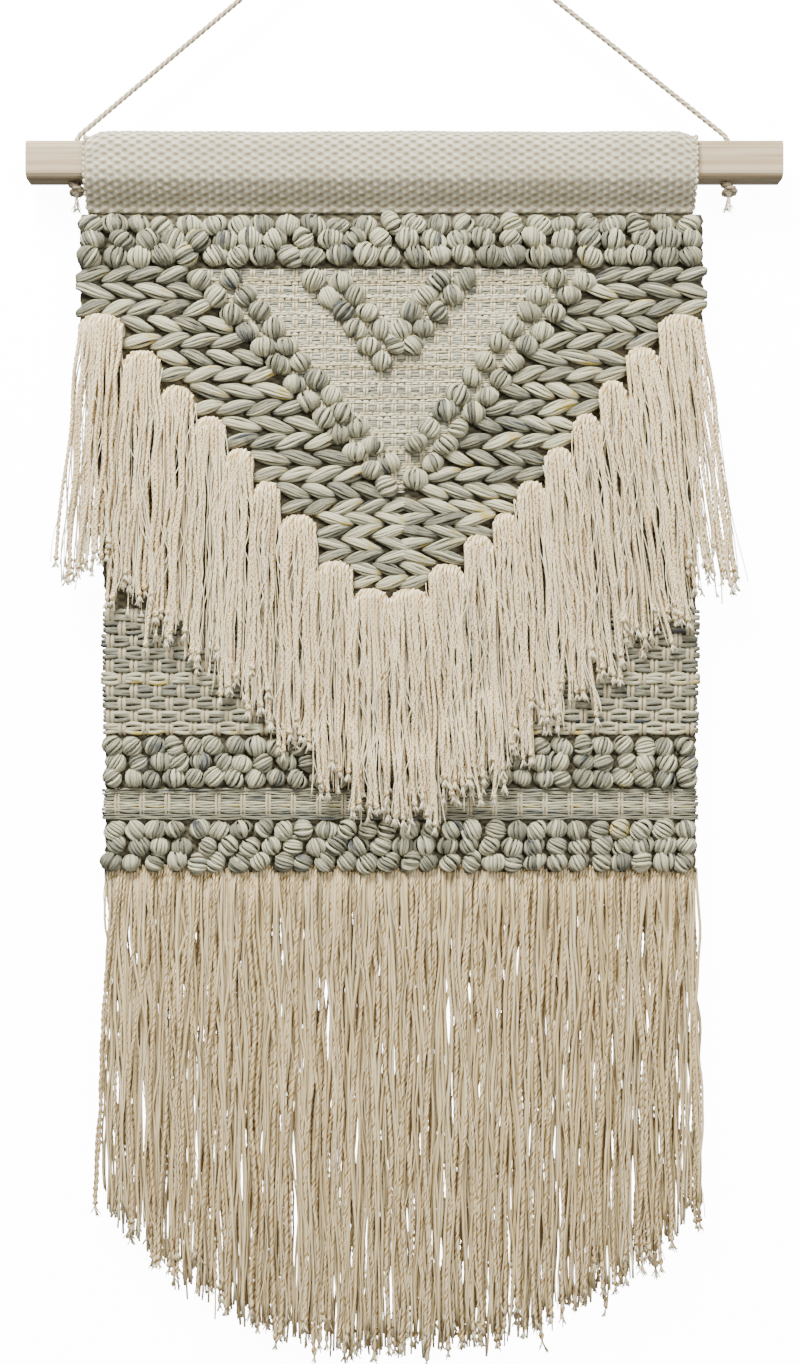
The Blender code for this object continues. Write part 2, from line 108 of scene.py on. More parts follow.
class Yarns:
    """Tubes gathered for one piece: points, faces by number of corners, and the attributes yarn and crest.

    The parts of yarn are the tone, the distance along in metres and the turn round from 0 to 1. crest is 1
    where the surface stands proud and 0 down between the plies; the finishes paint shade from the turn and
    from crest."""

    def __init__(self):
        self.points, self.yarn, self.crest, self.faces, self.count = [], [], [], {}, 0

    def add(self, points, yarn, crest, *faces):
        """Take in points, their attributes and arrays of faces, one array for each number of corners."""
        for corners in faces:
            self.faces.setdefault(corners.shape[1], []).append(corners + self.count)
        self.points.append(points)
        self.yarn.append(yarn)
        self.crest.append(np.broadcast_to(crest, len(points)))
        self.count += len(points)

    def tubes(self, paths, radii, sides, tone, seam=(0, 1, 0), plies=0, twist=0.0, even=False):
        """Tubes along paths, an array of tubes x stations x 3. A ring stands square to its path at each
        station: its points are the centre plus radius times cosine and sine of evenly spaced turns, with
        the joint of the ring on the side that seam points to. With plies, the radius falls between them as
        the strands of a twisted cord do, and they turn twist times for each metre. even gives the whole
        surface the shade of its front."""
        tubes, stations, _ = paths.shape
        radii = np.broadcast_to(radii, (tubes, stations))
        forward = unit(np.gradient(paths, axis=1))
        side = unit(np.cross(forward, np.broadcast_to(np.asarray(seam, float), paths.shape)))
        back = np.cross(side, forward)
        steps = np.linalg.norm(np.diff(paths, axis=1), axis=2)
        along = np.concatenate([np.zeros((tubes, 1)), np.cumsum(steps, axis=1)], axis=1)
        turn = np.arange(sides) / sides
        crest, swell = np.ones((tubes, stations, sides)), 1
        if plies:
            phase = plies * TAU * (turn[None, None] + twist * along[..., None])
            crest = np.abs(np.cos(phase / 2))
            swell = PLY_FLOOR + (1.08 - PLY_FLOOR) * crest
        ring = (radii[..., None] * swell + 0 * crest)[..., None]
        turned = TAU * turn
        spoke = (
            np.cos(turned)[None, None, :, None] * back[:, :, None]
            + np.sin(turned)[None, None, :, None] * side[:, :, None]
        )
        points = (paths[:, :, None] + ring * spoke).reshape(-1, 3)
        yarn = np.empty((tubes, stations, sides, 3))
        tones = np.asarray(tone, float).reshape(tubes, -1)
        yarn[..., 0] = np.broadcast_to(tones, (tubes, stations))[..., None]
        yarn[..., 1] = along[..., None]
        yarn[..., 2] = 0.5 if even else turn
        base = (np.arange(tubes) * stations * sides)[:, None, None]
        row = (np.arange(stations - 1) * sides)[None, :, None]
        here, there = np.arange(sides), (np.arange(sides) + 1) % sides
        near, far = base + row, base + row + sides
        quads = np.stack([near + here, near + there, far + there, far + here], -1)
        first = base[:, 0] + here[None, ::-1]
        last = base[:, 0] + (stations - 1) * sides + here[None]
        self.add(points, yarn.reshape(-1, 3), crest.ravel(), quads.reshape(-1, 4), first, last)

    def grid(self, points, tone, along, around, closed_rows=False):
        """A surface of rows x columns of points. With closed_rows, its last row joins its first."""
        rows, columns, _ = points.shape
        yarn = np.stack([np.broadcast_to(a, (rows, columns)) for a in (tone, along, around)], -1)
        i = np.arange(rows if closed_rows else rows - 1)[:, None]
        j = np.arange(columns - 1)[None]
        k = (i + 1) % rows
        quads = np.stack([i * columns + j, i * columns + j + 1, k * columns + j + 1, k * columns + j], -1)
        self.add(points.reshape(-1, 3), yarn.reshape(-1, 3), 1, quads.reshape(-1, 4))

    def piece(self, name, finish, body=None, slot=None, replaces=(), weld=False):
        """The gathered faces as one smooth object in the scene, riding on its body. A piece that stands for
        one node is named after it."""
        if name in replaces:
            name += "_yarn"
        mesh = bpy.data.meshes.new(name)
        points = np.concatenate(self.points)
        sizes, corners = [], []
        for count, blocks in self.faces.items():
            faces = np.concatenate(blocks)
            sizes.append(np.full(len(faces), count))
            corners.append(faces.ravel())
        sizes, corners = np.concatenate(sizes), np.concatenate(corners)
        mesh.vertices.add(len(points))
        mesh.vertices.foreach_set("co", points.astype(np.float32).ravel())
        mesh.loops.add(len(corners))
        mesh.loops.foreach_set("vertex_index", corners.astype(np.int32))
        mesh.polygons.add(len(sizes))
        mesh.polygons.foreach_set("loop_start", (np.cumsum(sizes) - sizes).astype(np.int32))
        mesh.polygons.foreach_set("loop_total", sizes.astype(np.int32))
        mesh.update(calc_edges=True)
        mesh.validate()
        mesh.shade_smooth()
        stored = mesh.attributes.new("yarn", "FLOAT_VECTOR", "POINT")
        stored.data.foreach_set("vector", np.concatenate(self.yarn).astype(np.float32).ravel())
        stored = mesh.attributes.new("crest", "FLOAT", "POINT")
        stored.data.foreach_set("value", np.concatenate(self.crest).astype(np.float32))
        mesh.materials.append(finish)
        if weld:
            welded = bmesh.new()
            welded.from_mesh(mesh)
            bmesh.ops.remove_doubles(welded, verts=welded.verts, dist=WELD)
            welded.to_mesh(mesh)
            welded.free()
        made = bpy.data.objects.new(name, mesh)
        bpy.context.scene.collection.objects.link(made)
        if body:
            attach(made, body)
        if replaces:
            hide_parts(*replaces)
        return made


# ---- Materials ----


class Value:
    """A socket's value. Arithmetic on it adds Math nodes."""

    def __init__(self, finish, out):
        self.finish, self.out = finish, out

    def math(self, operation, *others):
        """This value and others through a Math node."""
        return self.finish.add("ShaderNodeMath", {"operation": operation}, self, *others)

    def __add__(self, other):
        return self.math("ADD", other)

    def __mul__(self, other):
        return self.math("MULTIPLY", other)

    def __rsub__(self, other):
        return self.finish.add("ShaderNodeMath", {"operation": "SUBTRACT"}, other, self)

    __radd__, __rmul__ = __add__, __mul__

    def above(self, edge, width=0.05):
        """0 below the edge and 1 above it, with a soft step."""
        settings = {"interpolation_type": "SMOOTHSTEP"}
        return self.finish.add("ShaderNodeMapRange", settings, self, edge - width, edge + width)


class Finish:
    """One Principled material under construction."""

    def __init__(self, name, roughness):
        self.data = bpy.data.materials.new(name)
        self.data.use_nodes = True
        self.tree = self.data.node_tree
        self.shader = self.tree.nodes["Principled BSDF"]
        self.shader.inputs["Roughness"].default_value = roughness

    def add(self, kind, settings, *values, out=0):
        """A node of that type: its settings are set first, then its sockets, by number or by link."""
        node = self.tree.nodes.new(kind)
        for name, value in settings.items():
            setattr(node, name, value)
        sockets = [s for s in node.inputs if s.enabled]
        for socket, value in zip(sockets, values):
            if isinstance(value, Value):
                self.tree.links.new(value.out, socket)
            elif hasattr(socket.default_value, "__len__") and len(socket.default_value) == 4:
                socket.default_value = (*value, 1)
            else:
                socket.default_value = value
        outputs = [s for s in node.outputs if s.enabled]
        return Value(self, outputs[out])

    def yarn(self):
        """The yarn attribute's tone, distance and turn."""
        vector = self.add("ShaderNodeAttribute", {"attribute_name": "yarn"}, out=1)
        return [self.add("ShaderNodeSeparateXYZ", {}, vector, out=i) for i in range(3)]

    def crest(self):
        """1 on a twisted yarn's plies and 0 between them."""
        return self.add("ShaderNodeAttribute", {"attribute_name": "crest"}, out=2)

    def place(self):
        """The object's own coordinates."""
        return self.add("ShaderNodeTexCoord", {}, out=3)

    def proud(self, front, deep):
        """1 where the surface is as far out as front and 0 as far in as deep, both heights of y. The wool's
        painted shade is strongest where it is 0.
        """
        y = self.add("ShaderNodeSeparateXYZ", {}, self.place(), out=1)
        return self.add("ShaderNodeMapRange", {"interpolation_type": "SMOOTHSTEP"}, y, deep, front)

    def facing(self, around):
        """1 on a yarn's front and 0 at its sides, from the turn round it, which is a half in front. The
        finishes paint shade on a yarn's sides with it.
        """
        return (0.5 - (around * TAU).math("COSINE") * 0.5).above(0.64, 0.24)

    def noise(self, vector, scale, detail, roughness=0.5):
        return self.add("ShaderNodeTexNoise", {}, vector, scale, detail, roughness)

    def vector(self, x, y, z):
        return self.add("ShaderNodeCombineXYZ", {}, x, y, z)

    def mix(self, share, one, two):
        """A colour between two, each a triple or a link."""
        node = self.tree.nodes.new("ShaderNodeMix")
        node.data_type = "RGBA"
        for socket, value in ((node.inputs["Factor"], share), (node.inputs[6], one), (node.inputs[7], two)):
            if isinstance(value, Value):
                self.tree.links.new(value.out, socket)
            else:
                socket.default_value = (*value, 1) if hasattr(value, "__len__") else value
        return Value(self, node.outputs[2])

    def feed(self, socket, value):
        self.tree.links.new(value.out, self.shader.inputs[socket])

    def bump(self, height, strength, distance):
        self.feed("Normal", self.add("ShaderNodeBump", {}, strength, distance, 1.0, height))


def wood_finish():
    """Pale sanded pine: long grain lines along the batten, warmer where they are dark, and fine pores."""
    f = Finish("pine", 0.62)
    x, y, z = [f.add("ShaderNodeSeparateXYZ", {}, f.place(), out=i) for i in range(3)]
    wander = f.noise(f.vector(x * 7.0, y * 14.0, z * 14.0), 1.0, 2.0)
    rings = f.noise(f.vector(x * 2.2, y * 230.0 + wander * 1.4, z * 260.0 + wander * 1.6), 1.0, 3.0, 0.6)
    fine = f.noise(f.vector(x * 30.0, y * 900.0, z * 900.0), 1.0, 2.0)
    colour = f.mix(rings.above(0.52, 0.10), (0.47, 0.37, 0.225), (0.32, 0.22, 0.11))
    colour = f.mix(fine.above(0.5, 0.3) * 0.35, colour, (0.54, 0.45, 0.30))
    f.feed("Base Color", colour)
    f.feed("Roughness", 0.5 + fine * 0.25)
    f.bump(rings * 0.5 + fine * 0.5, 0.25, 0.0004)
    return f.data


def cotton_finish(name, pale, deep, cast_and_shade, groove_shade):
    """Twisted cotton: fine fibres along the yarn, painted shade at the yarn's sides and down in the twist,
    and a tan cast for each yarn, stronger on high tones, which on the fine threads behind is partly painted
    shade.
    """
    f = Finish(name, 0.9)
    tone, along, around = f.yarn()
    fibre = f.noise(f.vector(along * 260.0 + around * 6.0, around * 9.0, tone * 91.0), 1.0, 3.0, 0.6)
    patch = f.noise(f.vector(along * 28.0, tone * 57.0, 0.5), 1.0, 2.0)
    colour = f.mix(fibre.above(0.5, 0.28), deep, pale)
    # A tan cast, random for each yarn and stronger on high tones; on the fine threads behind it is partly
    # painted shade.
    colour = f.mix(patch.above(0.55, 0.25) * 0.4 + tone * 0.6, colour, cast_and_shade)
    # Painted shade: darker at the yarn's sides and down between the plies.
    colour = f.mix((1.0 - f.facing(around)) * 0.5, colour, groove_shade)
    colour = f.mix(f.crest().above(0.60, 0.36), groove_shade, colour)
    f.feed("Base Color", colour)
    f.feed("Roughness", 0.78 + fibre * 0.2)
    f.bump(fibre, 0.5, 0.0005)
    return f.data


def wool_finish(name, pale, grey, dark, proud, flecks=True):
    """Heathered wool: cream, grey and dark fibres in streaks along the yarn, with painted shade at the
    yarn's sides and deep in the pile, and now and then a navy or a yellow stretch, which only some yarns
    have. proud is the pair of heights, out in front and deep in, between which that painted shade goes from
    none to its strongest."""
    f = Finish(name, 0.92)
    tone, along, around = f.yarn()
    streak = f.noise(f.vector(along * 50.0, around * 9.0, tone * 83.0), 1.0, 3.0, 0.65)
    fibre = f.noise(f.vector(along * 330.0 + around * 5.0, around * 16.0, tone * 31.0), 1.0, 2.0, 0.6)
    colour = f.mix((streak * 0.7 + tone * 0.3).above(0.5, 0.12), pale, grey)
    colour = f.mix((tone * 0.6 + fibre * 0.8).above(0.80, 0.14) * 0.5, colour, dark)
    colour = f.mix((fibre + streak).above(1.12, 0.12) * 0.5, colour, pale)
    if flecks:
        patch = f.noise(f.vector(along * 60.0, tone * 137.0, around * 2.5), 1.0, 1.0)
        navy = patch.above(0.60, 0.03) * tone.above(0.88, 0.01)
        yellow = (1.0 - patch).above(0.60, 0.03) * (1.0 - tone).above(0.95, 0.01)
        slate = (1.0 - streak).above(0.56, 0.06) * tone.above(0.55, 0.05)
        colour = f.mix(slate * 0.4, colour, (0.140, 0.165, 0.185))
        colour = f.mix(navy * 0.8, colour, (0.020, 0.030, 0.045))
        colour = f.mix(yellow * 0.85, colour, (0.42, 0.30, 0.04))
    # Painted shade: darker at the yarn's sides and deep in the pile.
    shade = (0.38 + f.facing(around) * 0.62) * (0.30 + f.proud(*proud) * 0.70)
    colour = f.mix(0.06 + shade * 0.94, SHADOW, colour)
    f.feed("Base Color", colour)
    f.feed("Roughness", 0.82 + fibre * 0.16)
    f.bump(fibre * 0.6 + streak * 0.4, 0.6, 0.0007)
    return f.data


def weave_finish(name, pale, deep, groove_shade, picks):
    """Plain weave in one colour. The crowns of the yarns stand where cos(pi u) cos(pi v) is 1, with u
    counted in columns along the cloth and v in picks round it, and the holes between them get painted
    shade. picks turns the yarn attribute's last part into v."""
    f = Finish(name, 0.93)
    tone, along, around = f.yarn()
    fibre = f.noise(f.vector(along * 900.0, around * picks * 2.2, tone * 40.0), 1.0, 3.0, 0.6)
    patch = f.noise(f.place(), 34.0, 2.0)
    wander = f.noise(f.place(), 120.0, 1.0)
    u, v = along * (math.pi / COLUMN), around * (math.pi * picks)
    crown = (u + wander * 1.5).math("COSINE") * (v + wander * 1.2).math("COSINE")
    colour = f.mix((fibre * 0.7 + patch * 0.5).above(0.6, 0.2), deep, pale)
    # Painted shade in the holes between the crowns.
    colour = f.mix(crown.above(-0.15, 0.85), groove_shade, colour)
    f.feed("Base Color", colour)
    f.feed("Roughness", 0.82 + fibre * 0.15)
    f.bump(crown * 0.8 + fibre * 0.4, 0.6, 0.0010)
    return f.data


def plain_finish(name, colour):
    """One matt colour."""
    f = Finish(name, 0.95)
    f.shader.inputs["Base Color"].default_value = (*colour, 1)
    return f.data


COLUMN = 4.65 * MM  # the width of one column of the plain weave
PICK = 2.33 * MM  # the height of one pick
SLEEVE_PICKS = 54  # round the sleeve
SHADOW = (0.084, 0.074, 0.043)  # the painted shade of wool deep in the pile and at the yarns' sides
PILE = (FRONT - 6.5 * MM, FRONT - 1.5 * MM)  # the depths, out in front and deep in, between which the painted shade on the pile goes from none to its strongest
BAND = (FRONT - 2.4 * MM, FRONT - 0.2 * MM)  # the same for the flat weaves
PINE = wood_finish()
CORD = cotton_finish(
    "cotton_cord", (0.78, 0.72, 0.57), (0.60, 0.52, 0.36), (0.66, 0.57, 0.40), (0.32, 0.24, 0.12)
)
FRINGE = cotton_finish(
    "cream_fringe", (1.0, 0.96, 0.76), (0.92, 0.81, 0.52), (0.68, 0.49, 0.21), (0.42, 0.25, 0.06)
)
LONG_FRINGE = cotton_finish(
    "long_fringe", (0.93, 0.85, 0.60), (0.74, 0.61, 0.35), (0.54, 0.385, 0.155), (0.33, 0.19, 0.045)
)
BAND_WARP = cotton_finish(
    "band_warp", (0.52, 0.46, 0.31), (0.42, 0.36, 0.22), (0.42, 0.35, 0.205), (0.15, 0.11, 0.05)
)
WARP = cotton_finish(
    "cotton_warp", (0.66, 0.59, 0.41), (0.52, 0.44, 0.28), (0.52, 0.43, 0.26), (0.16, 0.12, 0.055)
)
SLEEVE = weave_finish(
    "sleeve_weave", (0.68, 0.64, 0.49), (0.52, 0.475, 0.33), (0.19, 0.155, 0.08), SLEEVE_PICKS
)
# The ground cloth is dark olive as painted shade, for where it shows between the pile and the weaves.
SHADED_GROUND = weave_finish(
    "ground_weave", (0.13, 0.112, 0.060), (0.10, 0.085, 0.045), (0.045, 0.037, 0.02), 1 / PICK
)
CLOTH = wool_finish(
    "natural_cloth", (0.66, 0.61, 0.43), (0.52, 0.46, 0.29), (0.40, 0.33, 0.18), BAND, flecks=False
)
FIELD_GREY = wool_finish(
    "field_grey", (0.46, 0.44, 0.32), (0.29, 0.28, 0.205), (0.14, 0.14, 0.10), BAND, flecks=False
)
WOOL = wool_finish("grey_wool", (0.49, 0.465, 0.31), (0.205, 0.195, 0.122), (0.070, 0.066, 0.040), PILE)
BAND_WOOL = wool_finish("band_wool", (0.44, 0.415, 0.275), (0.20, 0.19, 0.12), (0.078, 0.073, 0.045), BAND)


# ---- Camera, room and lights ----

EYE_DISTANCE = 1.306
FOCUS_DISTANCE = 1.30  # to the pile's front, where the view spans its height
VIEW_HEIGHT = 0.8866
VIEW_CENTRE = (0.0039, -0.5259)
SENSOR = 36.0
WALL_GLOW = 13.0
ROOM_HALF = 3.0


def camera():
    """A level camera straight in front, whose long side spans the view's height at the object."""
    data = bpy.data.cameras.new("camera")
    data.sensor_width = SENSOR
    data.lens = SENSOR * FOCUS_DISTANCE / VIEW_HEIGHT
    made = bpy.data.objects.new("camera", data)
    made.location = (VIEW_CENTRE[0], -EYE_DISTANCE, VIEW_CENTRE[1])
    made.rotation_euler = (math.pi / 2, 0, 0)
    bpy.context.scene.collection.objects.link(made)
    bpy.context.scene.camera = made


def area_light(name, place, aim, size, power):
    """A square soft light at a place, turned to a point."""
    data = bpy.data.lights.new(name, "AREA")
    data.size = size
    data.energy = power
    made = bpy.data.objects.new(name, data)
    made.location = place
    direction = np.array(aim, float) - np.array(place, float)
    flat = math.hypot(direction[0], direction[1])
    made.rotation_euler = (math.atan2(flat, -direction[2]), 0, math.atan2(-direction[0], direction[1]))
    bpy.context.scene.collection.objects.link(made)


def room():
    """A white wall that glows and shows from its front side only, a pale floor and soft lights."""
    wall_y = sleeve_high.y + 0.0006
    floor_z = cad_box[0].z - 0.25
    wall = Yarns()
    sides = np.array([-ROOM_HALF, ROOM_HALF])
    across, up = np.meshgrid(sides, np.array([floor_z, 2.0]))
    wall.grid(np.stack([across, np.full_like(across, wall_y), up], -1), 0, 0, 0)
    paint = Finish("wall_paint", 0.95)
    paint.shader.inputs["Base Color"].default_value = (0.93, 0.93, 0.93, 1)
    paint.shader.inputs["Emission Color"].default_value = (1, 1, 1, 1)
    paint.shader.inputs["Emission Strength"].default_value = WALL_GLOW
    clear = paint.tree.nodes.new("ShaderNodeBsdfTransparent")
    choose = paint.tree.nodes.new("ShaderNodeMixShader")
    back = paint.add("ShaderNodeNewGeometry", {}, out=6)
    paint.tree.links.new(back.out, choose.inputs[0])
    paint.tree.links.new(paint.shader.outputs[0], choose.inputs[1])
    paint.tree.links.new(clear.outputs[0], choose.inputs[2])
    paint.tree.links.new(choose.outputs[0], paint.tree.nodes["Material Output"].inputs[0])
    behind = wall.piece("wall", paint.data)
    floor = Yarns()
    across, deep = np.meshgrid(sides, sides)
    floor.grid(np.stack([across, deep, np.full_like(across, floor_z)], -1), 0, 0, 0)
    below = floor.piece("floor", plain_finish("pale_floor", (0.86, 0.86, 0.85)))
    behind.visible_shadow = False
    for plane in (behind, below):
        plane.visible_diffuse = plane.visible_glossy = False
    middle = (VIEW_CENTRE[0], 0, VIEW_CENTRE[1])
    area_light("key", (-0.5, -1.25, 1.25), (0, 0, -0.45), 0.8, 148)
    area_light("fill", (1.2, -2.4, 0.1), middle, 1.6, 60)
    area_light("rear", (0.6, 2.2, 0.4), middle, 1.8, 60)
    world = bpy.data.worlds.new("studio")
    world.use_nodes = True
    world.node_tree.nodes["Background"].inputs[0].default_value = (1.0, 1.0, 1.0, 1)
    world.node_tree.nodes["Background"].inputs[1].default_value = 0.30
    bpy.context.scene.world = world


# ---- Batten, cord and knots ----

# The cord's route, from the left knot up over the nail and down to the right knot
CORD_ROUTE = [
    (-0.2073, 0, -0.1996), (-0.2073, 0, -0.1940), (-0.2073, 0, -0.1860), (-0.2073, 0, -0.1790),
    (-0.2072, 0, -0.1745), (-0.2064, 0, -0.1710), (-0.2042, 0, -0.1681), (-0.2000, 0, -0.1645),
    (-0.1800, 0, -0.1475), (-0.1350, 0, -0.1094), (-0.0900, 0, -0.0714), (-0.0400, 0, -0.0291),
    (-0.0150, 0, -0.0083), (-0.0052, 0, -0.0002), (-0.0027, 0, 0.0013), (0, 0, 0.00175),
    (0.0027, 0, 0.0013), (0.0051, 0, -0.0001), (0.0150, 0, -0.0080), (0.0400, 0, -0.0281),
    (0.0900, 0, -0.0682), (0.1400, 0, -0.1083), (0.1900, 0, -0.1484), (0.2100, 0, -0.1645),
    (0.2148, 0, -0.1684), (0.2173, 0, -0.1714), (0.2182, 0, -0.1748), (0.2184, 0, -0.1790),
    (0.2184, 0, -0.1860), (0.2184, 0, -0.1940), (0.2184, 0, -0.1996),
]
CORD_DIAMETER = 3.5 * MM
CORD_PLIES = 3
CORD_TWIST = 75.0  # turns for each metre


def smooth_route(points, step):
    """Points a step apart along the curve whose tangent at each route point lies along its neighbours'
    chord: on each stretch a cubic joins the two ends with tangents as long as the stretch."""
    p = np.array(points, float)
    chord = np.empty_like(p)
    chord[1:-1] = p[2:] - p[:-2]
    chord[0], chord[-1] = p[1] - p[0], p[-1] - p[-2]
    tangent = unit(chord)
    span = np.linalg.norm(np.diff(p, axis=0), axis=1)[:, None, None]
    t = np.linspace(0, 1, 24, endpoint=False)[None, :, None]
    a, b = p[:-1, None], p[1:, None]
    ta, tb = tangent[:-1, None] * span, tangent[1:, None] * span
    dense = (
        (2 * t**3 - 3 * t**2 + 1) * a + (t**3 - 2 * t**2 + t) * ta
        + (3 * t**2 - 2 * t**3) * b + (t**3 - t**2) * tb
    ).reshape(-1, 3)
    dense = np.concatenate([dense, p[-1:]])
    run = np.concatenate([[0], np.cumsum(np.linalg.norm(np.diff(dense, axis=0), axis=1))])
    at = np.linspace(0, run[-1], round(run[-1] / step) + 1)
    return np.stack([np.interp(at, run, dense[:, i]) for i in range(3)], -1), run[-1]


def frayed_tail(yarns, root, length, width, count):
    """Loose ends below a knot: thin yarns that leave one point downwards and curl apart."""
    t = np.linspace(0, 1, 8)[None, :, None]
    turn = RNG.uniform(0, TAU, (count, 1, 1))
    reach = RNG.uniform(0.35, 1, (count, 1, 1)) * width
    drop = RNG.uniform(0.75, 1.05, (count, 1, 1)) * length
    curl = 0.5 * MM * np.sin(TAU * t * RNG.uniform(0.6, 1.4, (count, 1, 1)) + turn)
    out = reach * t**1.4
    paths = np.concatenate([out * np.cos(turn) + curl, out * np.sin(turn) - 0.3 * curl, -drop * t], -1)
    radii = 0.42 * MM * (1 - 0.35 * t[..., 0]) * np.ones((count, 1))
    yarns.tubes(paths + np.array(root), radii, 5, RNG.uniform(0, 0.6, count))


def stopper_knot(name, x):
    """An overhand knot pulled tight: the cord winds round itself in a small loop and ends in a tail."""
    top = rod_low.z - 0.3 * MM
    t = np.linspace(0, 1, 90)
    turn = TAU * 1.62 * t + 0.9
    round_it = 4.1 * MM * np.sin(math.pi * np.clip(0.10 + 0.86 * t, 0, 1)) ** 0.6
    height = -2.2 * MM - 4.6 * MM * smooth(t) + 1.5 * MM * np.sin(TAU * 1.1 * t + 0.6)
    path = np.stack([round_it * np.cos(turn), round_it * np.sin(turn), height], -1)[None]
    place = np.array([x, 0, top])
    yarns = Yarns()
    yarns.tubes(path + place, 2.1 * MM, 10, [0.0], seam=(0, 0, 1), plies=CORD_PLIES, twist=CORD_TWIST)
    core = np.linspace(0, 1, 16)
    radii = 1.2 * MM + 2.0 * MM * np.sin(math.pi * np.clip(core * 1.05, 0, 1))
    stem = np.stack([np.zeros_like(core), np.zeros_like(core), -0.1 * MM - 9.5 * MM * core], -1)[None]
    yarns.tubes(stem + place, radii[None], 10, [0.35])
    frayed_tail(yarns, (x, 0, top - 8.6 * MM), 11.5 * MM, 4.6 * MM, 16)
    return yarns.piece(name, CORD, "rod", "cotton_cord", [name])


def cord_and_knots():
    """The twisted cord along its route, and its two knots, whose tails go with it."""
    left = stopper_knot("left_knot", CORD_ROUTE[0][0])
    right = stopper_knot("right_knot", CORD_ROUTE[-1][0])
    path, length = smooth_route(CORD_ROUTE, 0.8 * MM)
    yarns = Yarns()
    yarns.tubes(path[None], CORD_DIAMETER / 2, 12, [0.15], plies=CORD_PLIES, twist=CORD_TWIST)
    made = yarns.piece("cotton_hanging_cord", CORD, "rod", "cotton_cord", ["hanging_cord"])


def batten():
    """The frame's own batten, in pine."""
    materials = frame["nodes"]["rod"].data.materials
    materials.clear()
    materials.append(PINE)


# ---- Sleeve and panel cloth ----

WEAVE_RELIEF = 0.9 * MM
SLEEVE_COLUMNS = 300
PICK_POINTS = 3
CLOTH_ROWS = 150
CLOTH_COLUMNS = 140
CLOTH_HALF = (cloth_high.y - cloth_low.y) / 2
PANEL_TOP = (-0.2048, 0.2015)  # the left and right edge above the stretch where the panel narrows
PANEL_LOW = (-0.1885, 0.1970)  # and below it
NARROWS = (-0.3000, -0.4700)


def panel_edges(z):
    """The panel's left and right edge at each height: both draw in evenly between two levels."""
    share = np.clip((NARROWS[0] - z) / (NARROWS[0] - NARROWS[1]), 0, 1)
    return tuple(high + (low - high) * share for high, low in zip(PANEL_TOP, PANEL_LOW))


def plain_weave(u, v):
    """A plain weave's height, half of 1 + cos(pi u) cos(pi v), which is 1 on the yarns' crowns and 0 in the
    holes, and the tone of each row's yarn, a random-looking number that goes by the row's place."""
    row = np.floor(v)
    return 0.5 + 0.5 * np.cos(math.pi * u) * np.cos(math.pi * v), (np.sin(row * 91.17 + 3) * 43758.5) % 1


def even_loop(corners, count):
    """Points evenly round a closed outline of y and z, its corners rounded by a short moving average."""
    ring = np.array(corners + corners[:1], float)
    run = np.concatenate([[0], np.cumsum(np.linalg.norm(np.diff(ring, axis=0), axis=1))])
    at = np.linspace(0, run[-1], count, endpoint=False)
    ring = np.stack([np.interp(at, run, ring[:, i]) for i in range(2)], -1)
    for _ in range(2):
        ring = (np.roll(ring, 1, 0) + 2 * ring + np.roll(ring, -1, 0)) / 4
    return ring


def sleeve_outlines():
    """The cloth's outer and inner outlines round the batten, from the seam up, as y and z from its axis."""
    drop = (ROD_Z - SEAM_Z) / MM
    outer = [
        (-3.2, -drop), (-4.4, -drop + 4), (-11.2, -21.7), (-15.8, -14.5), (-17.3, -7.5), (-17.3, 7.0),
        (-16.2, 11.8), (-13.6, 15.2), (-8, 18.4), (0, 20.3), (8, 18.4), (13.5, 15.4), (16.0, 12.0),
        (17.0, 7.5), (17.0, -8.5), (15.3, -15.5), (10.5, -23), (3.2, -drop),
    ]
    inner = [
        (-0.6, -27.3), (-1.8, -25.9), (-8, -20), (-12.2, -13), (-13.3, -7), (-13.3, 6), (-12.9, 8.5),
        (-11.6, 11.6), (-7, 15.2), (0, 16.4), (7, 15.2), (11.6, 11.6), (12.8, 8.5), (12.9, 7), (12.9, -8),
        (12.1, -13.5), (7.5, -20.5), (0.6, -27.3),
    ]
    return ([(y * MM, z * MM) for y, z in side] for side in (outer, inner))


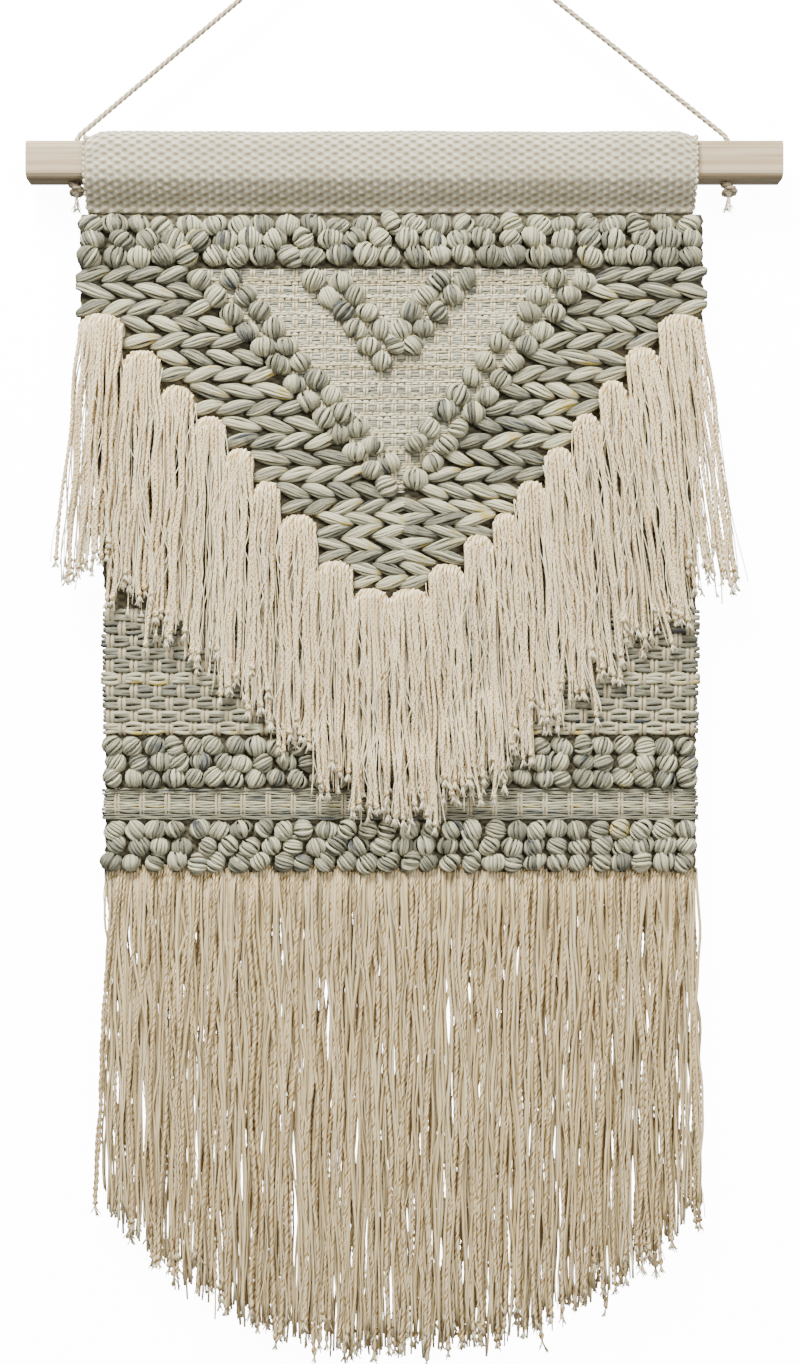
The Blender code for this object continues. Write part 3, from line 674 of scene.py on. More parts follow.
def sleeve():
    """The woven tube: its outer skin carries the weave, and its ends dip a little and join the inner."""
    left, right = sleeve_low.x + 0.6 * MM, sleeve_high.x - 0.6 * MM
    x = np.linspace(left, right, SLEEVE_COLUMNS)
    near_end = np.minimum(x - left, right - x)
    dip = -3.2 * MM * (1 - smooth(near_end / (11 * MM)))
    wave = 0.5 * MM * np.sin(TAU * x / 0.171 + 1) + 0.35 * MM * np.sin(TAU * x / 0.063)
    outer, inner = sleeve_outlines()
    yarns = Yarns()
    skins = []
    count = PICK_POINTS * SLEEVE_PICKS
    for corners, relief in ((outer, WEAVE_RELIEF), (inner, 0.2 * MM)):
        ring = even_loop(corners, count)
        step = np.roll(ring, -1, 0) - np.roll(ring, 1, 0)
        normal = unit(np.stack([-step[:, 1], step[:, 0]], -1))
        v = np.arange(count)[:, None] / count * SLEEVE_PICKS
        height, tone = plain_weave(x[None] / COLUMN, v + 0 * x[None])
        push = relief * (height - 0.5)
        upper = smooth((ring[:, 1:2] + 5 * MM) / (12 * MM))
        y = ring[:, :1] + push * normal[:, :1] + 0.4 * wave[None] * smooth(-ring[:, 1:2] / (20 * MM))
        z = ROD_Z + ring[:, 1:] + push * normal[:, 1:] + dip[None] * upper + 0.5 * wave[None] * upper
        skins.append((np.stack([np.broadcast_to(x, y.shape), y, z], -1), tone))
    (outside, outer_tone), (inside, inner_tone) = skins
    around = np.arange(count)[:, None] / count
    yarns.grid(outside[:, ::-1], outer_tone[:, ::-1], x[None, ::-1], around, closed_rows=True)
    yarns.grid(inside, inner_tone, x[None], around, closed_rows=True)
    for end, flip in ((-1, 1), (0, -1)):
        lip = np.stack([outside[:, end], inside[:, end]])
        yarns.grid(np.swapaxes(lip, 0, 1)[:, ::flip], 0.3, 0.1, around, closed_rows=True)
    made = yarns.piece("woven_sleeve", SLEEVE, "sleeve", "natural_cloth", ["rod_sleeve"], weld=True)
    turns = Yarns()
    selvedge(turns, left, -1)
    selvedge(turns, right, 1)
    edges = turns.piece("sleeve_selvedge", CLOTH, "sleeve", "natural_cloth")


def selvedge(yarns, x, side):
    """The turns of the wefts at a cloth's edge, as short loops up the sleeve's front."""
    z = np.arange(SEAM_Z + 4 * MM, rod_high.z + 3 * MM, 1.5 * PICK)[:, None]
    t = np.linspace(-1, 1, 7)[None]
    under = 13 * MM * smooth((ROD_Z - HALF_ROD - z) / (18 * MM))
    over = 2.5 * MM * smooth((z - ROD_Z - 8 * MM) / (9 * MM))
    front = -17.4 * MM + under + over
    out = x + side * (0.9 * MM * np.sqrt(1 - t**2) - 0.4 * MM) * RNG.uniform(0.6, 1.4, z.shape)
    paths = np.stack([out + 0 * z, front + 0.9 * MM + 1.2 * MM * t**2 + 0 * z, z + 1.5 * MM * t], -1)
    yarns.tubes(paths, 1.0 * MM, 6, RNG.uniform(0, 1, len(z)))


def hem_stitching():
    """The hem's thread: a twisted tube along the seam that rises and falls a little."""
    low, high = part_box("hem_stitching")
    x = np.arange(low.x, high.x, 1.0 * MM)
    middle_y, middle_z = (low.y + high.y) / 2, (low.z + high.z) / 2
    path = np.stack([x, middle_y + 0 * x, middle_z + 0.6 * MM * np.cos(TAU * (x - low.x) / (20 * MM))], -1)
    yarns = Yarns()
    yarns.tubes(path[None], 0.5 * MM, 8, [0.4], plies=2, twist=250.0)
    yarns.piece("hem_thread", CORD, "sleeve", "cotton_cord", ["hem_stitching"])


def ground_cloth():
    """The panel's cloth: a closed shell with a rounded top, and a shallow plain weave on both faces. Its
    dark olive colour is painted shade where it shows between the pile and the weaves.
    """
    rounded = HEM_Z + CLOTH_HALF * np.sin(np.radians([75, 50, 25]))
    z = np.concatenate([rounded, np.linspace(HEM_Z, BOTTOM_Z, CLOTH_ROWS)])
    half = CLOTH_HALF * np.where(z > HEM_Z, np.sqrt(np.maximum(1 - ((z - HEM_Z) / CLOTH_HALF) ** 2, 0)), 1)
    left, right = panel_edges(z)
    across = CLOTH_COLUMNS
    share = np.linspace(0, 1, across)
    loop = np.concatenate([share, share[::-1]])
    face = np.concatenate([-np.ones(across), np.ones(across)])
    x = left[None] + (right - left)[None] * loop[:, None]
    edge = np.minimum(loop, 1 - loop)[:, None] * (right - left)[None]
    height, tone = plain_weave(x / COLUMN, -z[None] / PICK + 0 * x)
    thick = half[None] * (0.35 + 0.65 * smooth(edge / (2.5 * MM)))
    relief = 0.35 * MM * (height - 0.7) * smooth(edge / (4 * MM)) * (half[None] > 0.0014)
    y = face[:, None] * (thick + relief)
    scallop = 0.7 * MM * np.sin(TAU * z / (7.2 * MM))[None] * (1 - smooth(edge / (6 * MM)))
    points = np.stack([x - scallop * np.sign(loop - 0.5)[:, None], y, z[None] + 0 * x], -1)
    yarns = Yarns()
    yarns.grid(points, tone, x, -z[None], closed_rows=True)
    count = len(z)
    ring = np.arange(2 * across) * count
    yarns.faces.setdefault(2 * across, []).append(ring[None, ::-1])
    yarns.faces[2 * across].append((ring + count - 1)[None])
    made = yarns.piece("ground_weave", SHADED_GROUND, None, "natural_cloth", ["ground_cloth"])
    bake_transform(made)


# ---- Looped pile ----

LOOP_STRAND = 1.22 * MM  # the radius of a bobble's strands
LOOP_SPREAD = 22  # degrees by which the bobbles' leans differ
FIRST_ROW = (8.0, 8.0, 6.2)  # smaller bobbles next to the sleeve, which they meet when the panel swings
CHEVRONS = (
    "outer_v_left", "inner_v_left", "outer_v_right", "inner_v_right", "small_v_left", "small_v_right",
)
CHEVRON_SIZE = (7.5, 9.4, 6.6)
CHEVRON_STEP = 10.86 * MM
CHEVRON_SPREAD = 24


def bobbles(yarns, x, z, size, lean, strands=10):
    """Loops of pile, each a bobble of arched strands round a core. A strand is a meridian of an ellipsoid
    that winds a little: across = rx sin(a) cos(b), out = ry cos(a) cos(b), up = rz sin(b), with b from -82
    to 82 degrees and a the strand's own angle plus the bobble's winding times b. The bobble is then turned
    by its lean. size is a row of rx, ry and rz for each bobble."""
    count = len(x)
    b = np.radians(np.linspace(-82, 82, 9))[None, None]
    wind = RNG.normal(0, 0.32, (count, 1, 1)) * b
    a = np.radians(np.linspace(-80, 80, strands))[None, :, None]
    a = a + RNG.normal(0, 0.10, (count, strands, 1)) + wind
    rx, ry, rz = (size[:, i, None, None] for i in range(3))
    swell = RNG.uniform(0.84, 1.10, (count, strands, 1))
    across = rx * np.sin(a) * np.cos(b) ** 0.7
    out = ry * np.maximum(np.cos(a), 0.02) ** 0.7 * np.cos(b) ** 0.7 * swell
    up = rz * np.sin(b) * RNG.uniform(0.9, 1.06, (count, strands, 1)) * (0.74 + 0.26 * np.cos(a))
    turn = lean[:, None, None]
    px = x[:, None, None] + across * np.cos(turn) + up * np.sin(turn)
    pz = z[:, None, None] - across * np.sin(turn) + up * np.cos(turn)
    paths = np.stack([px, FRONT - out, pz], -1).reshape(count * strands, 9, 3)
    radii = LOOP_STRAND * np.sqrt(np.maximum(np.sin(np.linspace(0.22, 1, 9) * math.pi * 0.92), 0.3))[None]
    radii = radii * RNG.uniform(0.78, 1.18, (count * strands, 1))
    radii = radii * RNG.uniform(0.88, 1.12, (count * strands, 9))
    own = RNG.uniform(0, 1, (count, 1))
    tone = np.where(RNG.uniform(0, 1, (count, strands)) < 0.45, RNG.uniform(0, 1, (count, strands)), own)
    yarns.tubes(paths, radii, 6, tone.ravel())
    t = np.linspace(-1, 1, 7)[None]
    core = size[:, 2:] * 0.72 * t
    middle = np.stack([
        x[:, None] + core * np.sin(lean[:, None]), FRONT - size[:, 1:2] * 0.38 + 0 * t,
        z[:, None] + core * np.cos(lean[:, None]),
    ], -1)
    # The core's high tone turns it grey and dark: painted shade inside the bobble, between its strands.
    yarns.tubes(middle, size[:, :1] * 0.62 * np.sqrt(1.08 - t**2), 8, np.full(count, 0.75))


def loop_row(name, z, count, strands, lean, size, wander, offset):
    """One level row of bobbles across the panel."""
    left, right = panel_edges(np.array(z))
    pitch = (right - left) / count
    x = left + pitch * (np.arange(count) + 0.5 + offset) + RNG.normal(0, wander, count)
    x = np.clip(x, left + 4 * MM, right - 4 * MM)
    sizes = np.array(size) * MM * RNG.uniform(0.88, 1.12, (count, 3))
    yarns = Yarns()
    heights = z + RNG.normal(0, wander * 0.6, count)
    bobbles(yarns, x, heights, sizes, np.radians(RNG.normal(lean, LOOP_SPREAD, count)), strands)
    yarns.piece(name, WOOL, "panel", "grey_wool", [name])


def looped_bands():
    """Three bands of three rows. Each band has its lean in degrees, the bobbles' size, their number in a
    row, the strands in each and how much higher than its node each row lies, in millimetres."""
    for band, lean, size, across, strands, shifts in (
        ("top", 8, (8.0, 9.2, 7.0), 25, 10, (-0.6, 0.9, 0.9)),
        ("middle", 38, (6.6, 7.8, 6.1), 29, 8, (-0.6, 0.0, 0.6)),
        ("bottom", -34, (6.8, 8.0, 6.2), 28, 8, (-0.6, 0.0, 0.6)),
    ):
        for i, shift in enumerate(shifts):
            name = f"{band}_loops_{i + 1}"
            low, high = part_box(name)
            z = (low.z + high.z) / 2 + shift * MM
            row_size = FIRST_ROW if name == "top_loops_1" else size
            loop_row(name, z, across - i % 2, strands, lean, row_size, 1.0 * MM, 0.18 * (i % 2) - 0.09)


def chevrons():
    """Bobbles down each slanting line, about one for each row of braid. The small chevron has a second line
    of them on its inner side."""
    for name in CHEVRONS:
        low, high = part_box(name)
        side = 1 if name.endswith("left") else -1
        count = round((high.z - low.z) / CHEVRON_STEP)
        t = np.linspace(0, 1, count)
        start, end = (low.x, high.x) if side > 0 else (high.x, low.x)
        inset = 5 * MM
        x = start + side * inset + (end - start - 2 * side * inset) * t
        z = high.z - inset + (low.z - high.z + 2 * inset) * t
        if name.startswith("small"):
            x = np.concatenate([x, x[:-1] + side * 17 * MM])
            z = np.concatenate([z, z[:-1]])
            count = len(x)
        x = x + RNG.normal(0, 0.7 * MM, count)
        z = z + RNG.normal(0, 0.6 * MM, count)
        sizes = np.array(CHEVRON_SIZE) * MM * RNG.uniform(0.88, 1.12, (count, 3))
        yarns = Yarns()
        bobbles(yarns, x, z, sizes, np.radians(RNG.normal(6 * side, CHEVRON_SPREAD, count)))
        yarns.piece(name, WOOL, "panel", "grey_wool", [name])


# ---- Braided rows ----

TUFT_COUNT = {"left": 9, "right": 10}
TUFT_KNOT = 6.4 * MM
STITCH_PITCH = 18.5 * MM
STITCH_LENGTH = 27 * MM
STITCH_SLANT = 3.3 * MM
STITCH_DEPTH = 6.6 * MM
STITCH_PLIES = 6
SIDE_ROWS = 14
CENTRE_ROWS = 7
TURNED_ROWS = 5  # of the centre rows, the upper ones, whose halves slant against each other
TURN_OVERLAP = 5 * MM  # by which those halves pass the middle


def braid_row(yarns, z, left, right, direction, height):
    """One row of slanting stitches. Each stitch is a spindle of plies that rises from the cloth, passes
    over its neighbour and goes back in: along = length t, up = slant times -cos(pi t) plus the ply's place
    in the spindle times sin(pi t)^0.6, out = depth times sin(pi t)^0.55, the plies at the spindle's edge
    lying lower."""
    count = max(round((right - left) / STITCH_PITCH), 1)
    pitch = (right - left) / count
    plies = STITCH_PLIES
    t = np.linspace(0, 1, 13)[None, None]
    middle = left + pitch * (np.arange(count) + 0.5)[:, None, None] + RNG.normal(0, 0.7 * MM, (count, 1, 1))
    place = np.linspace(-1, 1, plies)[None, :, None] + RNG.normal(0, 0.08, (count, plies, 1))
    length = pitch * STITCH_LENGTH / STITCH_PITCH * RNG.uniform(0.93, 1.07, (count, 1, 1))
    lift = direction * STITCH_SLANT * RNG.uniform(0.75, 1.25, (count, 1, 1))
    bulge = np.sin(math.pi * t)
    x = middle + length * (t - 0.5) - direction * place * 1.2 * MM * bulge
    up = z - lift * np.cos(math.pi * t) + place * height * 0.27 * bulge**0.6
    up = up + 0.35 * MM * np.sin(TAU * t + 5 * place) * bulge
    out = STITCH_DEPTH * bulge**0.55 * np.sqrt(np.clip(1.12 - place**2 * 0.62, 0.1, 1)) * (0.82 + 0.18 * t)
    paths = np.stack([np.clip(x, left - 1 * MM, right + 1 * MM), FRONT - out, up], -1)
    radii = height * 0.098 * (0.62 + 0.38 * bulge**0.5) * RNG.uniform(0.86, 1.16, (count, plies, 1))
    tone = np.clip(RNG.uniform(0, 1, (count, 1)) + RNG.normal(0, 0.3, (count, plies)), 0, 1)
    paths = paths.reshape(count * plies, -1, 3)
    yarns.tubes(paths, radii.reshape(count * plies, -1), 6, tone.ravel())


def tuft_columns(side):
    """The stretch of the panel under each tuft, from the edge inwards. Its joint is at its middle."""
    tops = [joint_at[f"{side}_tuft_{i}_lift"] for i in range(1, TUFT_COUNT[side] + 1)]
    xs = [top[0] for top in tops]
    edge = panel_edges(np.array(tops[0][2]))[0 if side == "left" else 1]
    middle = (joint_at["left_tuft_9_lift"][0] + joint_at["right_tuft_10_lift"][0]) / 2
    lines = [float(edge)] + [(a + b) / 2 for a, b in zip(xs, xs[1:])] + [middle]
    return [(a, b, top[2] + TUFT_KNOT) for a, b, top in zip(lines, lines[1:], tops)]


def row_end(side, foot):
    """Where a braided row ends on that side: at the panel's edge or beside the last tuft above it."""
    limit = float(panel_edges(np.array(foot))[0 if side == "left" else 1])
    for _, inner, top in tuft_columns(side):
        if top > foot + 2 * MM:
            limit = inner
    return limit


def chevron_x(name, z):
    """The x of a chevron's line at a height."""
    low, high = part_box(name)
    share = (high.z - z) / (high.z - low.z)
    return low.x + (high.x - low.x) * share if name.endswith("left") else high.x - (high.x - low.x) * share


def side_braids():
    """Fourteen rows on each side of the chevrons, in six pieces a side, that slant up and down by turns."""
    groups = ((1, 2, 3), (4, 5), (6, 7), (8, 9), (10, 11), (12, 13, 14))
    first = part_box("left_braids_1")[1].z
    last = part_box("left_braids_6")[0].z
    pitch = (first - last) / SIDE_ROWS
    for side, out in (("left", -1), ("right", 1)):
        for number, group in enumerate(groups, 1):
            yarns = Yarns()
            for n in group:
                z = first - (n - 0.5) * pitch
                inner = chevron_x(f"outer_v_{side}", z) + out * 6.5 * MM
                outer = row_end(side, z - pitch / 2) + out * 0.8 * MM
                low, high = min(inner, outer), max(inner, outer)
                braid_row(yarns, z, low, high, 1 if n % 2 else -1, pitch)
            name = f"{side}_braids_{number}"
            yarns.piece(name, WOOL, "panel", "grey_wool", [name])


def centre_braids():
    """Seven rows right across below the chevrons. The stitches of the upper ones turn at the middle."""
    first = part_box("centre_braids_1")[1].z
    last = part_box("centre_braids_2")[0].z
    pitch = (first - last) / CENTRE_ROWS
    turn_x = (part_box("outer_v_left")[1].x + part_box("outer_v_right")[0].x) / 2
    for name, group in (("centre_braids_1", (0, 1, 2, 3)), ("centre_braids_2", (4, 5, 6))):
        yarns = Yarns()
        for n in group:
            z = first - (n + 0.5) * pitch
            left, right = row_end("left", z - pitch / 2), row_end("right", z - pitch / 2)
            slant = 1 if n % 2 == 0 else -1
            if n < TURNED_ROWS:
                braid_row(yarns, z, left, turn_x + TURN_OVERLAP, slant, pitch * 1.22)
                braid_row(yarns, z, turn_x - TURN_OVERLAP, right, -slant, pitch * 1.22)
            else:
                braid_row(yarns, z, left, right, slant, pitch * 1.22)
        yarns.piece(name, WOOL, "panel", "grey_wool", [name])


# ---- Plain weaves with thick wefts ----

STRAIGHT = 50  # a warp that turns only after so many wefts is as good as straight
FIELD_PITCH = 9.2 * MM  # between the field's pairs of warps
FIELD_PICK = 2.75 * MM


def weft_rows(yarns, rows, warp_pitch, stagger, plies, relief):
    """Level wefts of a few plies that rise over the cloth between the warps and sink under them. Each row
    is (z, height, left, right): out = relief times |sin(pi x / pitch)|^0.6, shifted by stagger from row to
    row, and the plies lie above each other with a slight twist."""
    step = warp_pitch / 6
    for number, (z, height, left, right) in enumerate(rows):
        stations = max(round((right - left) / step), 4)
        x = np.linspace(left, right, stations)[None]
        place = (np.arange(plies)[:, None] - (plies - 1) / 2) / plies
        swell = np.abs(np.sin(math.pi * (x / warp_pitch + number * stagger))) ** 0.6
        twist = 0.10 * np.sin(TAU * x / (31 * MM) + 2.1 * number + 2.4 * np.arange(plies)[:, None])
        up = z + height * (place + twist) * (0.60 + 0.34 * swell)
        out = 0.7 * MM + relief * swell + 0.25 * MM * np.cos(TAU * x / (17 * MM) + 3 * place + number)
        ends = np.minimum(x - left, right - x)
        out = out * smooth(ends / (2.5 * MM) + 0.15)
        paths = np.stack([x + 0 * up, FRONT - out, up], -1)
        radii = height / plies * 0.64 * (0.72 + 0.28 * swell) * RNG.uniform(0.9, 1.1, (plies, 1))
        tone = np.clip(RNG.uniform(0, 1) + RNG.normal(0, 0.2, plies), 0, 1)
        yarns.tubes(paths, radii, 5, tone)


def warp_threads(yarns, xs, top, foot, weft_pitch, stagger, relief, radius):
    """Upright pairs of warps, each over one weft and under the next: out = relief times the square of
    cos(pi z / pitch / 2), so that a warp shows as a short bar on every other weft."""
    for number, x in enumerate(xs):
        high, low = top(x), foot(x)
        if high - low < 3 * MM:
            continue
        z = np.linspace(high, low, max(round((high - low) / (weft_pitch / 5)), 4))[None]
        phase = TAU * (top(0) - z - weft_pitch / 2) / (2 * weft_pitch) + math.pi * number * stagger
        over = 0.5 + 0.5 * np.cos(phase)
        ends = smooth(np.minimum(high - z, z - low) / (2 * MM))
        for side in (-1, 1):
            px = x + side * radius * (0.9 + 0.15 * over) + 0 * z
            out = (0.2 * MM + relief * over) * ends
            paths = np.stack([px, FRONT - out, z], -1)
            yarns.tubes(paths, radius * (0.85 + 0.15 * over), 6, [RNG.uniform(0, 0.7)])


def plain_bands():
    """The basket weave above the middle loops and the ladder weave below them: grey wefts and beige warps.
    The basket's warps go over and under by turns, and the ladder's run straight down."""
    for name, rows, warp_pitch, stagger in (
        ("basket_weft", 10, 15.4 * MM, 0.5), ("ladder_weft", 5, 16.4 * MM, 0.0),
    ):
        low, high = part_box(name)
        pitch = (high.z - low.z) / rows
        levels = [high.z - (i + 0.5) * pitch for i in range(rows)]
        left, right = panel_edges(np.array(levels))
        lines = [
            (z, pitch, a - RNG.uniform(0, 1.8) * MM, b + RNG.uniform(0, 1.8) * MM)
            for z, a, b in zip(levels, left, right)
        ]
        wefts, warps = Yarns(), Yarns()
        weft_rows(wefts, lines, warp_pitch, stagger, 3, 2.4 * MM)
        wefts.piece(name, BAND_WOOL, "panel", "grey_wool", [name])
        step = warp_pitch / (2 if stagger else 1)
        xs = step * (math.ceil(left[0] / step) + np.arange(round((right[0] - left[0]) / step)))
        xs = xs[(xs > left[0] + 2 * MM) & (xs < right[0] - 2 * MM)]
        turn, shift, radius = (pitch, 1.0, 1.45 * MM) if stagger else (pitch * STRAIGHT, 0.0, 1.1 * MM)
        warp_threads(warps, xs, lambda x: high.z, lambda x: low.z, turn, shift, 2.8 * MM, radius)
        warps.piece(name.replace("weft", "warp"), BAND_WARP, "panel", "natural_cloth")


def triangle_weave():
    """The open field between the chevrons: two grey wefts under the warps, then two cream over them."""
    top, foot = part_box("outer_v_left")[1].z + 2 * MM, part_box("outer_v_left")[0].z
    pitch = FIELD_PICK
    rows = int((top - foot) / pitch)
    grey, cream, warps = [], [], Yarns()
    for i in range(rows):
        z = top - (i + 0.5) * pitch
        left, right = chevron_x("outer_v_left", z) + 2 * MM, chevron_x("outer_v_right", z) - 2 * MM
        if right - left < 6 * MM:
            break
        (grey if i % 4 < 2 else cream).append((z, pitch * 1.05, left, right))
    wefts = Yarns()
    weft_rows(wefts, cream, FIELD_PITCH / 2, 0.5, 2, 1.7 * MM)
    wefts.piece("field_cream_wefts", CLOTH, "panel", "natural_cloth")
    wefts = Yarns()
    weft_rows(wefts, grey, FIELD_PITCH, 0.0, 2, 1.3 * MM)
    wefts.piece("field_grey_wefts", FIELD_GREY, "panel", "grey_wool")
    xs = np.arange(-14, 15) * FIELD_PITCH

    def lower(x):
        """Where the field ends below that x: on the chevron line that passes through it."""
        name = "outer_v_left" if x < 0 else "outer_v_right"
        low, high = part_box(name)
        share = (x - low.x) / (high.x - low.x) if x < 0 else (high.x - x) / (high.x - low.x)
        return high.z + (low.z - high.z) * min(max(share, 0), 1)

    warp_threads(warps, xs, lambda x: top, lower, pitch * 2, 0.0, 2.7 * MM, 0.95 * MM)
    warps.piece("field_warps", WARP, "panel", "natural_cloth")


# ---- Tufts and lower fringe ----

STRAND = 1.45 * MM
THREAD = 0.5 * MM
SLUB_TWIST = 120.0  # turns for each metre of a two-ply strand
FRINGE_TWIST = 100.0
KNOT_ARCH = 7  # stations over the knot
# The first and the last tuft of each side: their lengths, and how far to the right they lean for each metre
TUFT_HANG = {
    "left": ((0.154, 0.134), (-0.06, 0.03)),
    "right": ((0.164, 0.135), (0.12, 0.04)),
}
MIDDLE_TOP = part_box("middle_loops_1")[1].z
FRINGE_SIDE = -0.868  # where the fringe ends at the panel's sides
FRINGE_MIDDLE = -0.958
SHEAVES = 3
BUNDLES = 8  # in a sheaf
BUNDLE_CORDS = 8
BUNDLE_THREADS = 30


def tuft_strands(count, left, right, top, length, lean, step, depths):
    """The paths of a tuft's strands. They come over its knot close together and hang, spreading over the
    first 40 mm to the tuft's width. From the knot down, x = start + (end - start) * s(t) + lean * drop + a
    small wave, out = the knot's depth going over to the strand's own depth, z = crown - drop, where the
    crowns make an arch."""
    width = right - left
    aside = RNG.permutation(np.linspace(-1, 1, count))
    tight = (left + right) / 2 + aside * width * 0.46
    loose = (left + right) / 2 + aside * width * 0.52 + RNG.normal(0, 1.5 * MM, count)
    depth = RNG.uniform(*depths, count)
    full = length * (1 + RNG.normal(0, 0.035, count)) + RNG.uniform(-8, 7, count) * MM
    drop = np.linspace(0, 1, round(length / step))[None] * full[:, None]
    phase = RNG.uniform(0, TAU, (count, 1))
    length_of_wave = RNG.uniform(45, 110, (count, 1))
    wave = 0.9 * MM * np.sin(TAU * drop / length_of_wave / MM + phase) * smooth(drop / (30 * MM))
    flare = RNG.normal(0, 3.4 * MM, (count, 1)) * (drop / length) ** 2
    x = tight[:, None] + (loose - tight)[:, None] * smooth(drop / (40 * MM)) + lean * drop + wave + flare
    knot_out = TUFT_KNOT * (1.0 + 0.6 * depth[:, None] + 0.35 * np.cos(1.4 * aside[:, None]))
    hang = 5.0 * MM + 9.5 * MM * depth[:, None]
    over_loops = 5.0 * MM if top - length < MIDDLE_TOP else 0
    near_loops = smooth((drop - length * 0.72 + 12 * MM) / (22 * MM)) * over_loops
    out = knot_out + (hang - knot_out) * smooth((drop - 2 * MM) / (30 * MM)) + near_loops
    arch = np.radians(np.linspace(-100, 90, KNOT_ARCH, endpoint=False))[None]
    arch_rise = TUFT_KNOT * (0.7 + 0.3 * depth[:, None])
    crown = top - 5.5 * MM * np.abs(aside[:, None]) ** 3 - 1.5 * MM * depth[:, None] - arch_rise
    knot_y = FRONT - knot_out / 2 * (1 + np.sin(arch))
    knot = (tight[:, None] + 0 * arch, knot_y, crown + arch_rise * np.cos(arch))
    return np.stack([np.concatenate(p, 1) for p in zip(knot, (x, FRONT - out, crown - drop))], -1)


def tuft_body(side, i, left, right, top, length, lean):
    """A tuft of thick two-ply strands and three times as many fine threads."""
    count = max(round((right - left) / (2.3 * MM)), 6)
    yarns = Yarns()
    paths = tuft_strands(count, left, right, top, length, lean, 1.3 * MM, (0.3, 1))
    share = np.linspace(0, 1, paths.shape[1])[None]
    thick = STRAND * RNG.uniform(0.78, 1.18, (count, 1)) * tip_profile(share, 0.965)
    yarns.tubes(paths, thick, 5, RNG.uniform(0, 0.3, count), plies=2, twist=SLUB_TWIST)
    brush(yarns, paths[:, -2:], 9, 8.5 * MM)
    fine = tuft_strands(count * 3, left, right, top, length, lean, 4.5 * MM, (0, 0.55))
    share = np.linspace(0, 1, fine.shape[1])[None]
    radii = THREAD * RNG.uniform(0.8, 1.5, (count * 3, 1)) * (1 - 0.3 * share)
    yarns.tubes(fine, radii, 3, RNG.uniform(0, 1, count * 3))
    brush(yarns, fine[::3, -2:], 5, 6.5 * MM)
    stray(yarns, paths[:, KNOT_ARCH:], 9, 0.34 * MM, 3.2 * MM)
    name = f"{side}_tuft_{i}"
    made = yarns.piece(name, FRINGE, None, "cream_fringe", [name])
    hinge = top - TUFT_KNOT
    top - 1.5 * MM
    hinge - 5 * MM
    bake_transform(made)


def tip_profile(share, start):
    """A strand's thickness from 0 to 1 along it: it flares where the twist opens and closes at the cut."""
    t = np.clip((share - start) / (1 - start), 0, 1)
    return (1 + 0.75 * smooth(t * 1.4)) * np.sqrt(np.maximum(1 - np.clip(t * 1.6 - 0.6, 0, 1) ** 2, 0.03))


def brush(yarns, tips, count, length):
    """The frayed end of each strand: short pale fibres that fan out evenly from its tip."""
    strands = len(tips)
    ahead = unit(tips[:, 1] - tips[:, 0])[:, None, None]
    fan = RNG.uniform(-1, 1, (strands, count, 1, 3)) * np.array([0.42, 0.25, 0.12])
    t = np.linspace(0, 1, 4)[None, None, :, None]
    reach = length * RNG.uniform(0.75, 1.0, (strands, count, 1, 1))
    reach = reach * RNG.uniform(0.7, 1.1, (strands, 1, 1, 1))
    paths = tips[:, None, None, 1] - ahead * 2.5 * MM + (ahead + fan * t) * t * reach
    radii = 0.6 * MM * (1 - 0.3 * t[..., 0]) + 0 * reach[..., 0]
    tone = RNG.uniform(0.0, 0.05, strands * count)
    yarns.tubes(paths.reshape(-1, 4, 3), radii.reshape(-1, 4), 3, tone, seam=(0.1, 1, 0.1), even=True)


def stray(yarns, paths, count, radius, wander):
    """Fine threads that run with the strands but wander in front of them."""
    strands, stations, _ = paths.shape
    pick = RNG.integers(0, strands, (2, count))
    t = np.linspace(0, 1, stations)[None, :, None]
    one, two = paths[pick[0]], paths[pick[1]]
    path = (one + (two - one) * smooth(t))[:, ::3]
    t = t[:, ::3]
    phase = RNG.uniform(0, TAU, (count, 1, 1))
    sway = np.sin(TAU * t * RNG.uniform(1, 3, (count, 1, 1)) + phase)
    path = path + wander * sway * np.array([1, 0.2, 0.15]) + np.array([0, -1.0 * MM, 0])
    yarns.tubes(path, radius, 3, RNG.uniform(0, 0.5, count))


def tufts():
    """The two lines of tufts. Their lengths and leans change evenly from the panel's edge to its middle."""
    for side, (lengths, leans) in TUFT_HANG.items():
        columns = tuft_columns(side)
        for i, (a, b, top) in enumerate(columns):
            share = i / (len(columns) - 1)
            length = lengths[0] + (lengths[1] - lengths[0]) * share
            lean = leans[0] + (leans[1] - leans[0]) * share
            tuft_body(side, i + 1, min(a, b), max(a, b), top, length, lean)


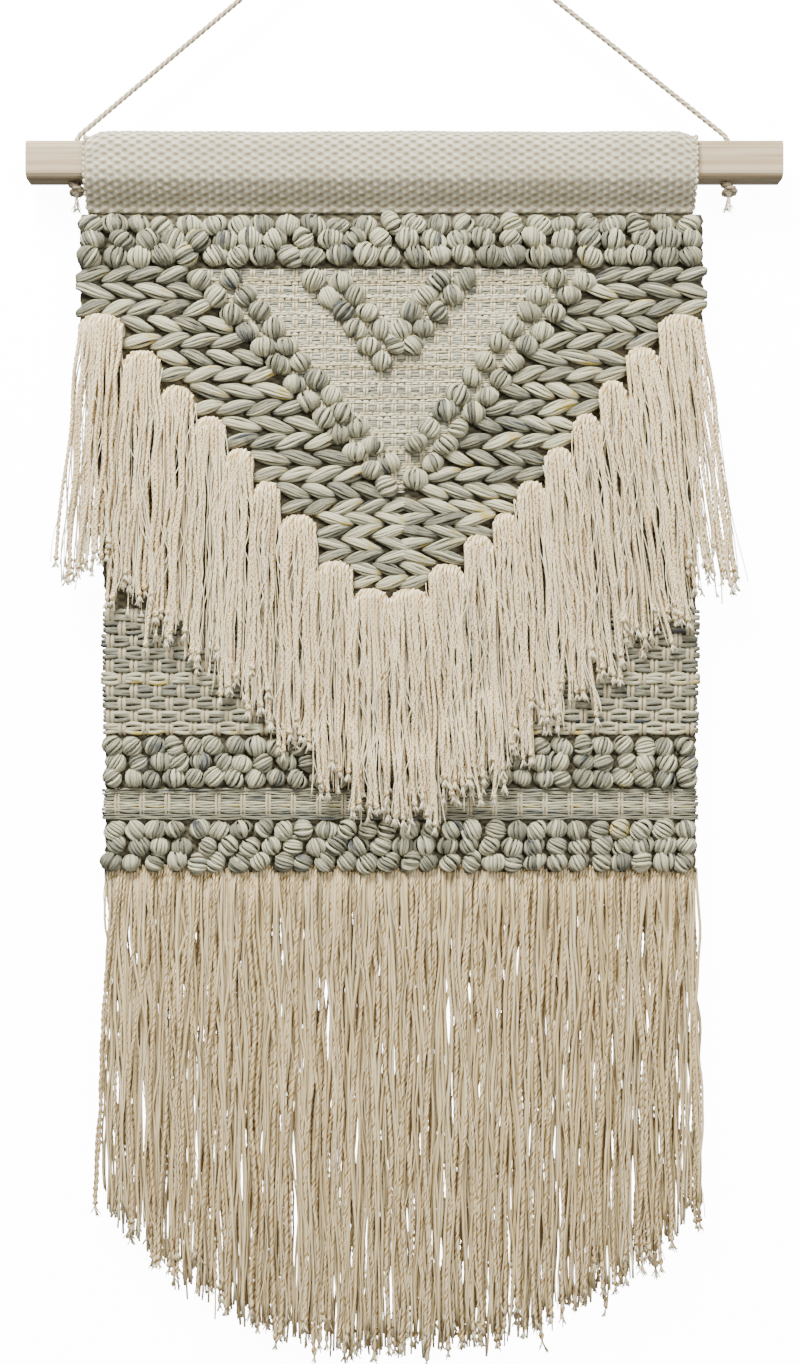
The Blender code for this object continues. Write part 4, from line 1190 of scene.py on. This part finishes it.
def fringe_strands(centre, pitch, strands, stations, gather):
    """The paths of one bundle's cords from its knot down: a cord spreads sideways over the first part of
    its drop, sways a little and ends near a shallow arch that is lowest in the middle of the panel."""
    left, right = PANEL_LOW
    middle, half_width = (left + right) / 2, (right - left) / 2
    top = BOTTOM_Z + 5 * MM
    place = RNG.permutation(np.linspace(-1, 1, strands))
    knot_x = centre + place * pitch * gather
    aside = RNG.permutation(np.linspace(-1, 1, strands)) * pitch * 0.66
    end_x = centre + aside + RNG.normal(0, 2.4 * MM, strands)
    depth = RNG.permutation(np.linspace(-1, 1, strands))
    floor = FRINGE_MIDDLE + (FRINGE_SIDE - FRINGE_MIDDLE) * np.abs((end_x - middle) / half_width) ** 2.2
    end_z = floor + RNG.normal(0, 6 * MM, strands) + np.where(RNG.uniform(0, 1, strands) < 0.2, 14 * MM, 0)
    end_z = np.maximum(end_z, cad_box[0].z - 4 * MM)
    t = np.linspace(0, 1, stations)[None]
    drop = (top - 2.5 * MM * place**2 - end_z)[:, None] * t
    go = smooth(t / RNG.uniform(0.4, 1.0, (strands, 1)))
    phase = RNG.uniform(0, TAU, (strands, 1))
    sway = 1.7 * MM * np.sin(TAU * drop / RNG.uniform(90, 220, (strands, 1)) / MM + phase)
    fine = 0.25 * MM * np.sin(TAU * drop / RNG.uniform(24, 50, (strands, 1)) / MM + 2 * phase)
    x = knot_x[:, None] + (end_x - knot_x)[:, None] * go + (sway + fine) * smooth(t * 5)
    bulge = 4.6 * MM * np.exp(-(((drop - 13 * MM) / (12 * MM)) ** 2)) * np.cos(1.3 * place[:, None])
    y = depth[:, None] * 6.0 * MM * smooth(drop / (30 * MM)) - bulge * (0.4 + 0.6 * np.abs(depth[:, None]))
    y = y + 0.6 * MM * np.sin(TAU * drop / (83 * MM) + 3 * phase)
    return np.stack([x, y, top - 2.5 * MM * place[:, None] ** 2 - drop], -1), t


def lower_fringe():
    """Twenty-four bundles in three sheaves, each of thick two-ply cords with fine threads behind them."""
    pitch = (PANEL_LOW[1] - PANEL_LOW[0]) / (SHEAVES * BUNDLES)
    for sheaf in range(SHEAVES):
        yarns = Yarns()
        for b in range(sheaf * BUNDLES, (sheaf + 1) * BUNDLES):
            centre = PANEL_LOW[0] + pitch * (b + 0.5)
            paths, t = fringe_strands(centre, pitch, BUNDLE_CORDS, 150, 0.43)
            radii = STRAND * RNG.uniform(0.72, 1.12, (BUNDLE_CORDS, 1)) * tip_profile(t, 0.98)
            tone = RNG.uniform(0, 0.35, BUNDLE_CORDS)
            yarns.tubes(paths, radii, 4, tone, plies=2, twist=FRINGE_TWIST)
            brush(yarns, paths[:, -2:], 7, 9 * MM)
            fine, t = fringe_strands(centre, pitch, BUNDLE_THREADS, 30, 0.52)
            fine[:, :, 1] += 2.0 * MM
            radii = THREAD * RNG.uniform(1.6, 2.8, (BUNDLE_THREADS, 1)) * (1 - 0.3 * t)
            # The threads behind take high tones, so they carry more of the tan cast, which here is partly
            # painted shade between the cords.
            yarns.tubes(fine, radii, 3, RNG.uniform(0.4, 1, BUNDLE_THREADS))
            stray(yarns, paths, 3, 0.33 * MM, 3.4 * MM)
        name = f"lower_fringe_{sheaf + 1}"
        made = yarns.piece(name, LONG_FRINGE, None, "cream_fringe", [name])
        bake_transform(made)


camera()
room()
batten()
cord_and_knots()
sleeve()
hem_stitching()
ground_cloth()
looped_bands()
chevrons()
side_braids()
centre_braids()
plain_bands()
triangle_weave()
tufts()
lower_fringe()
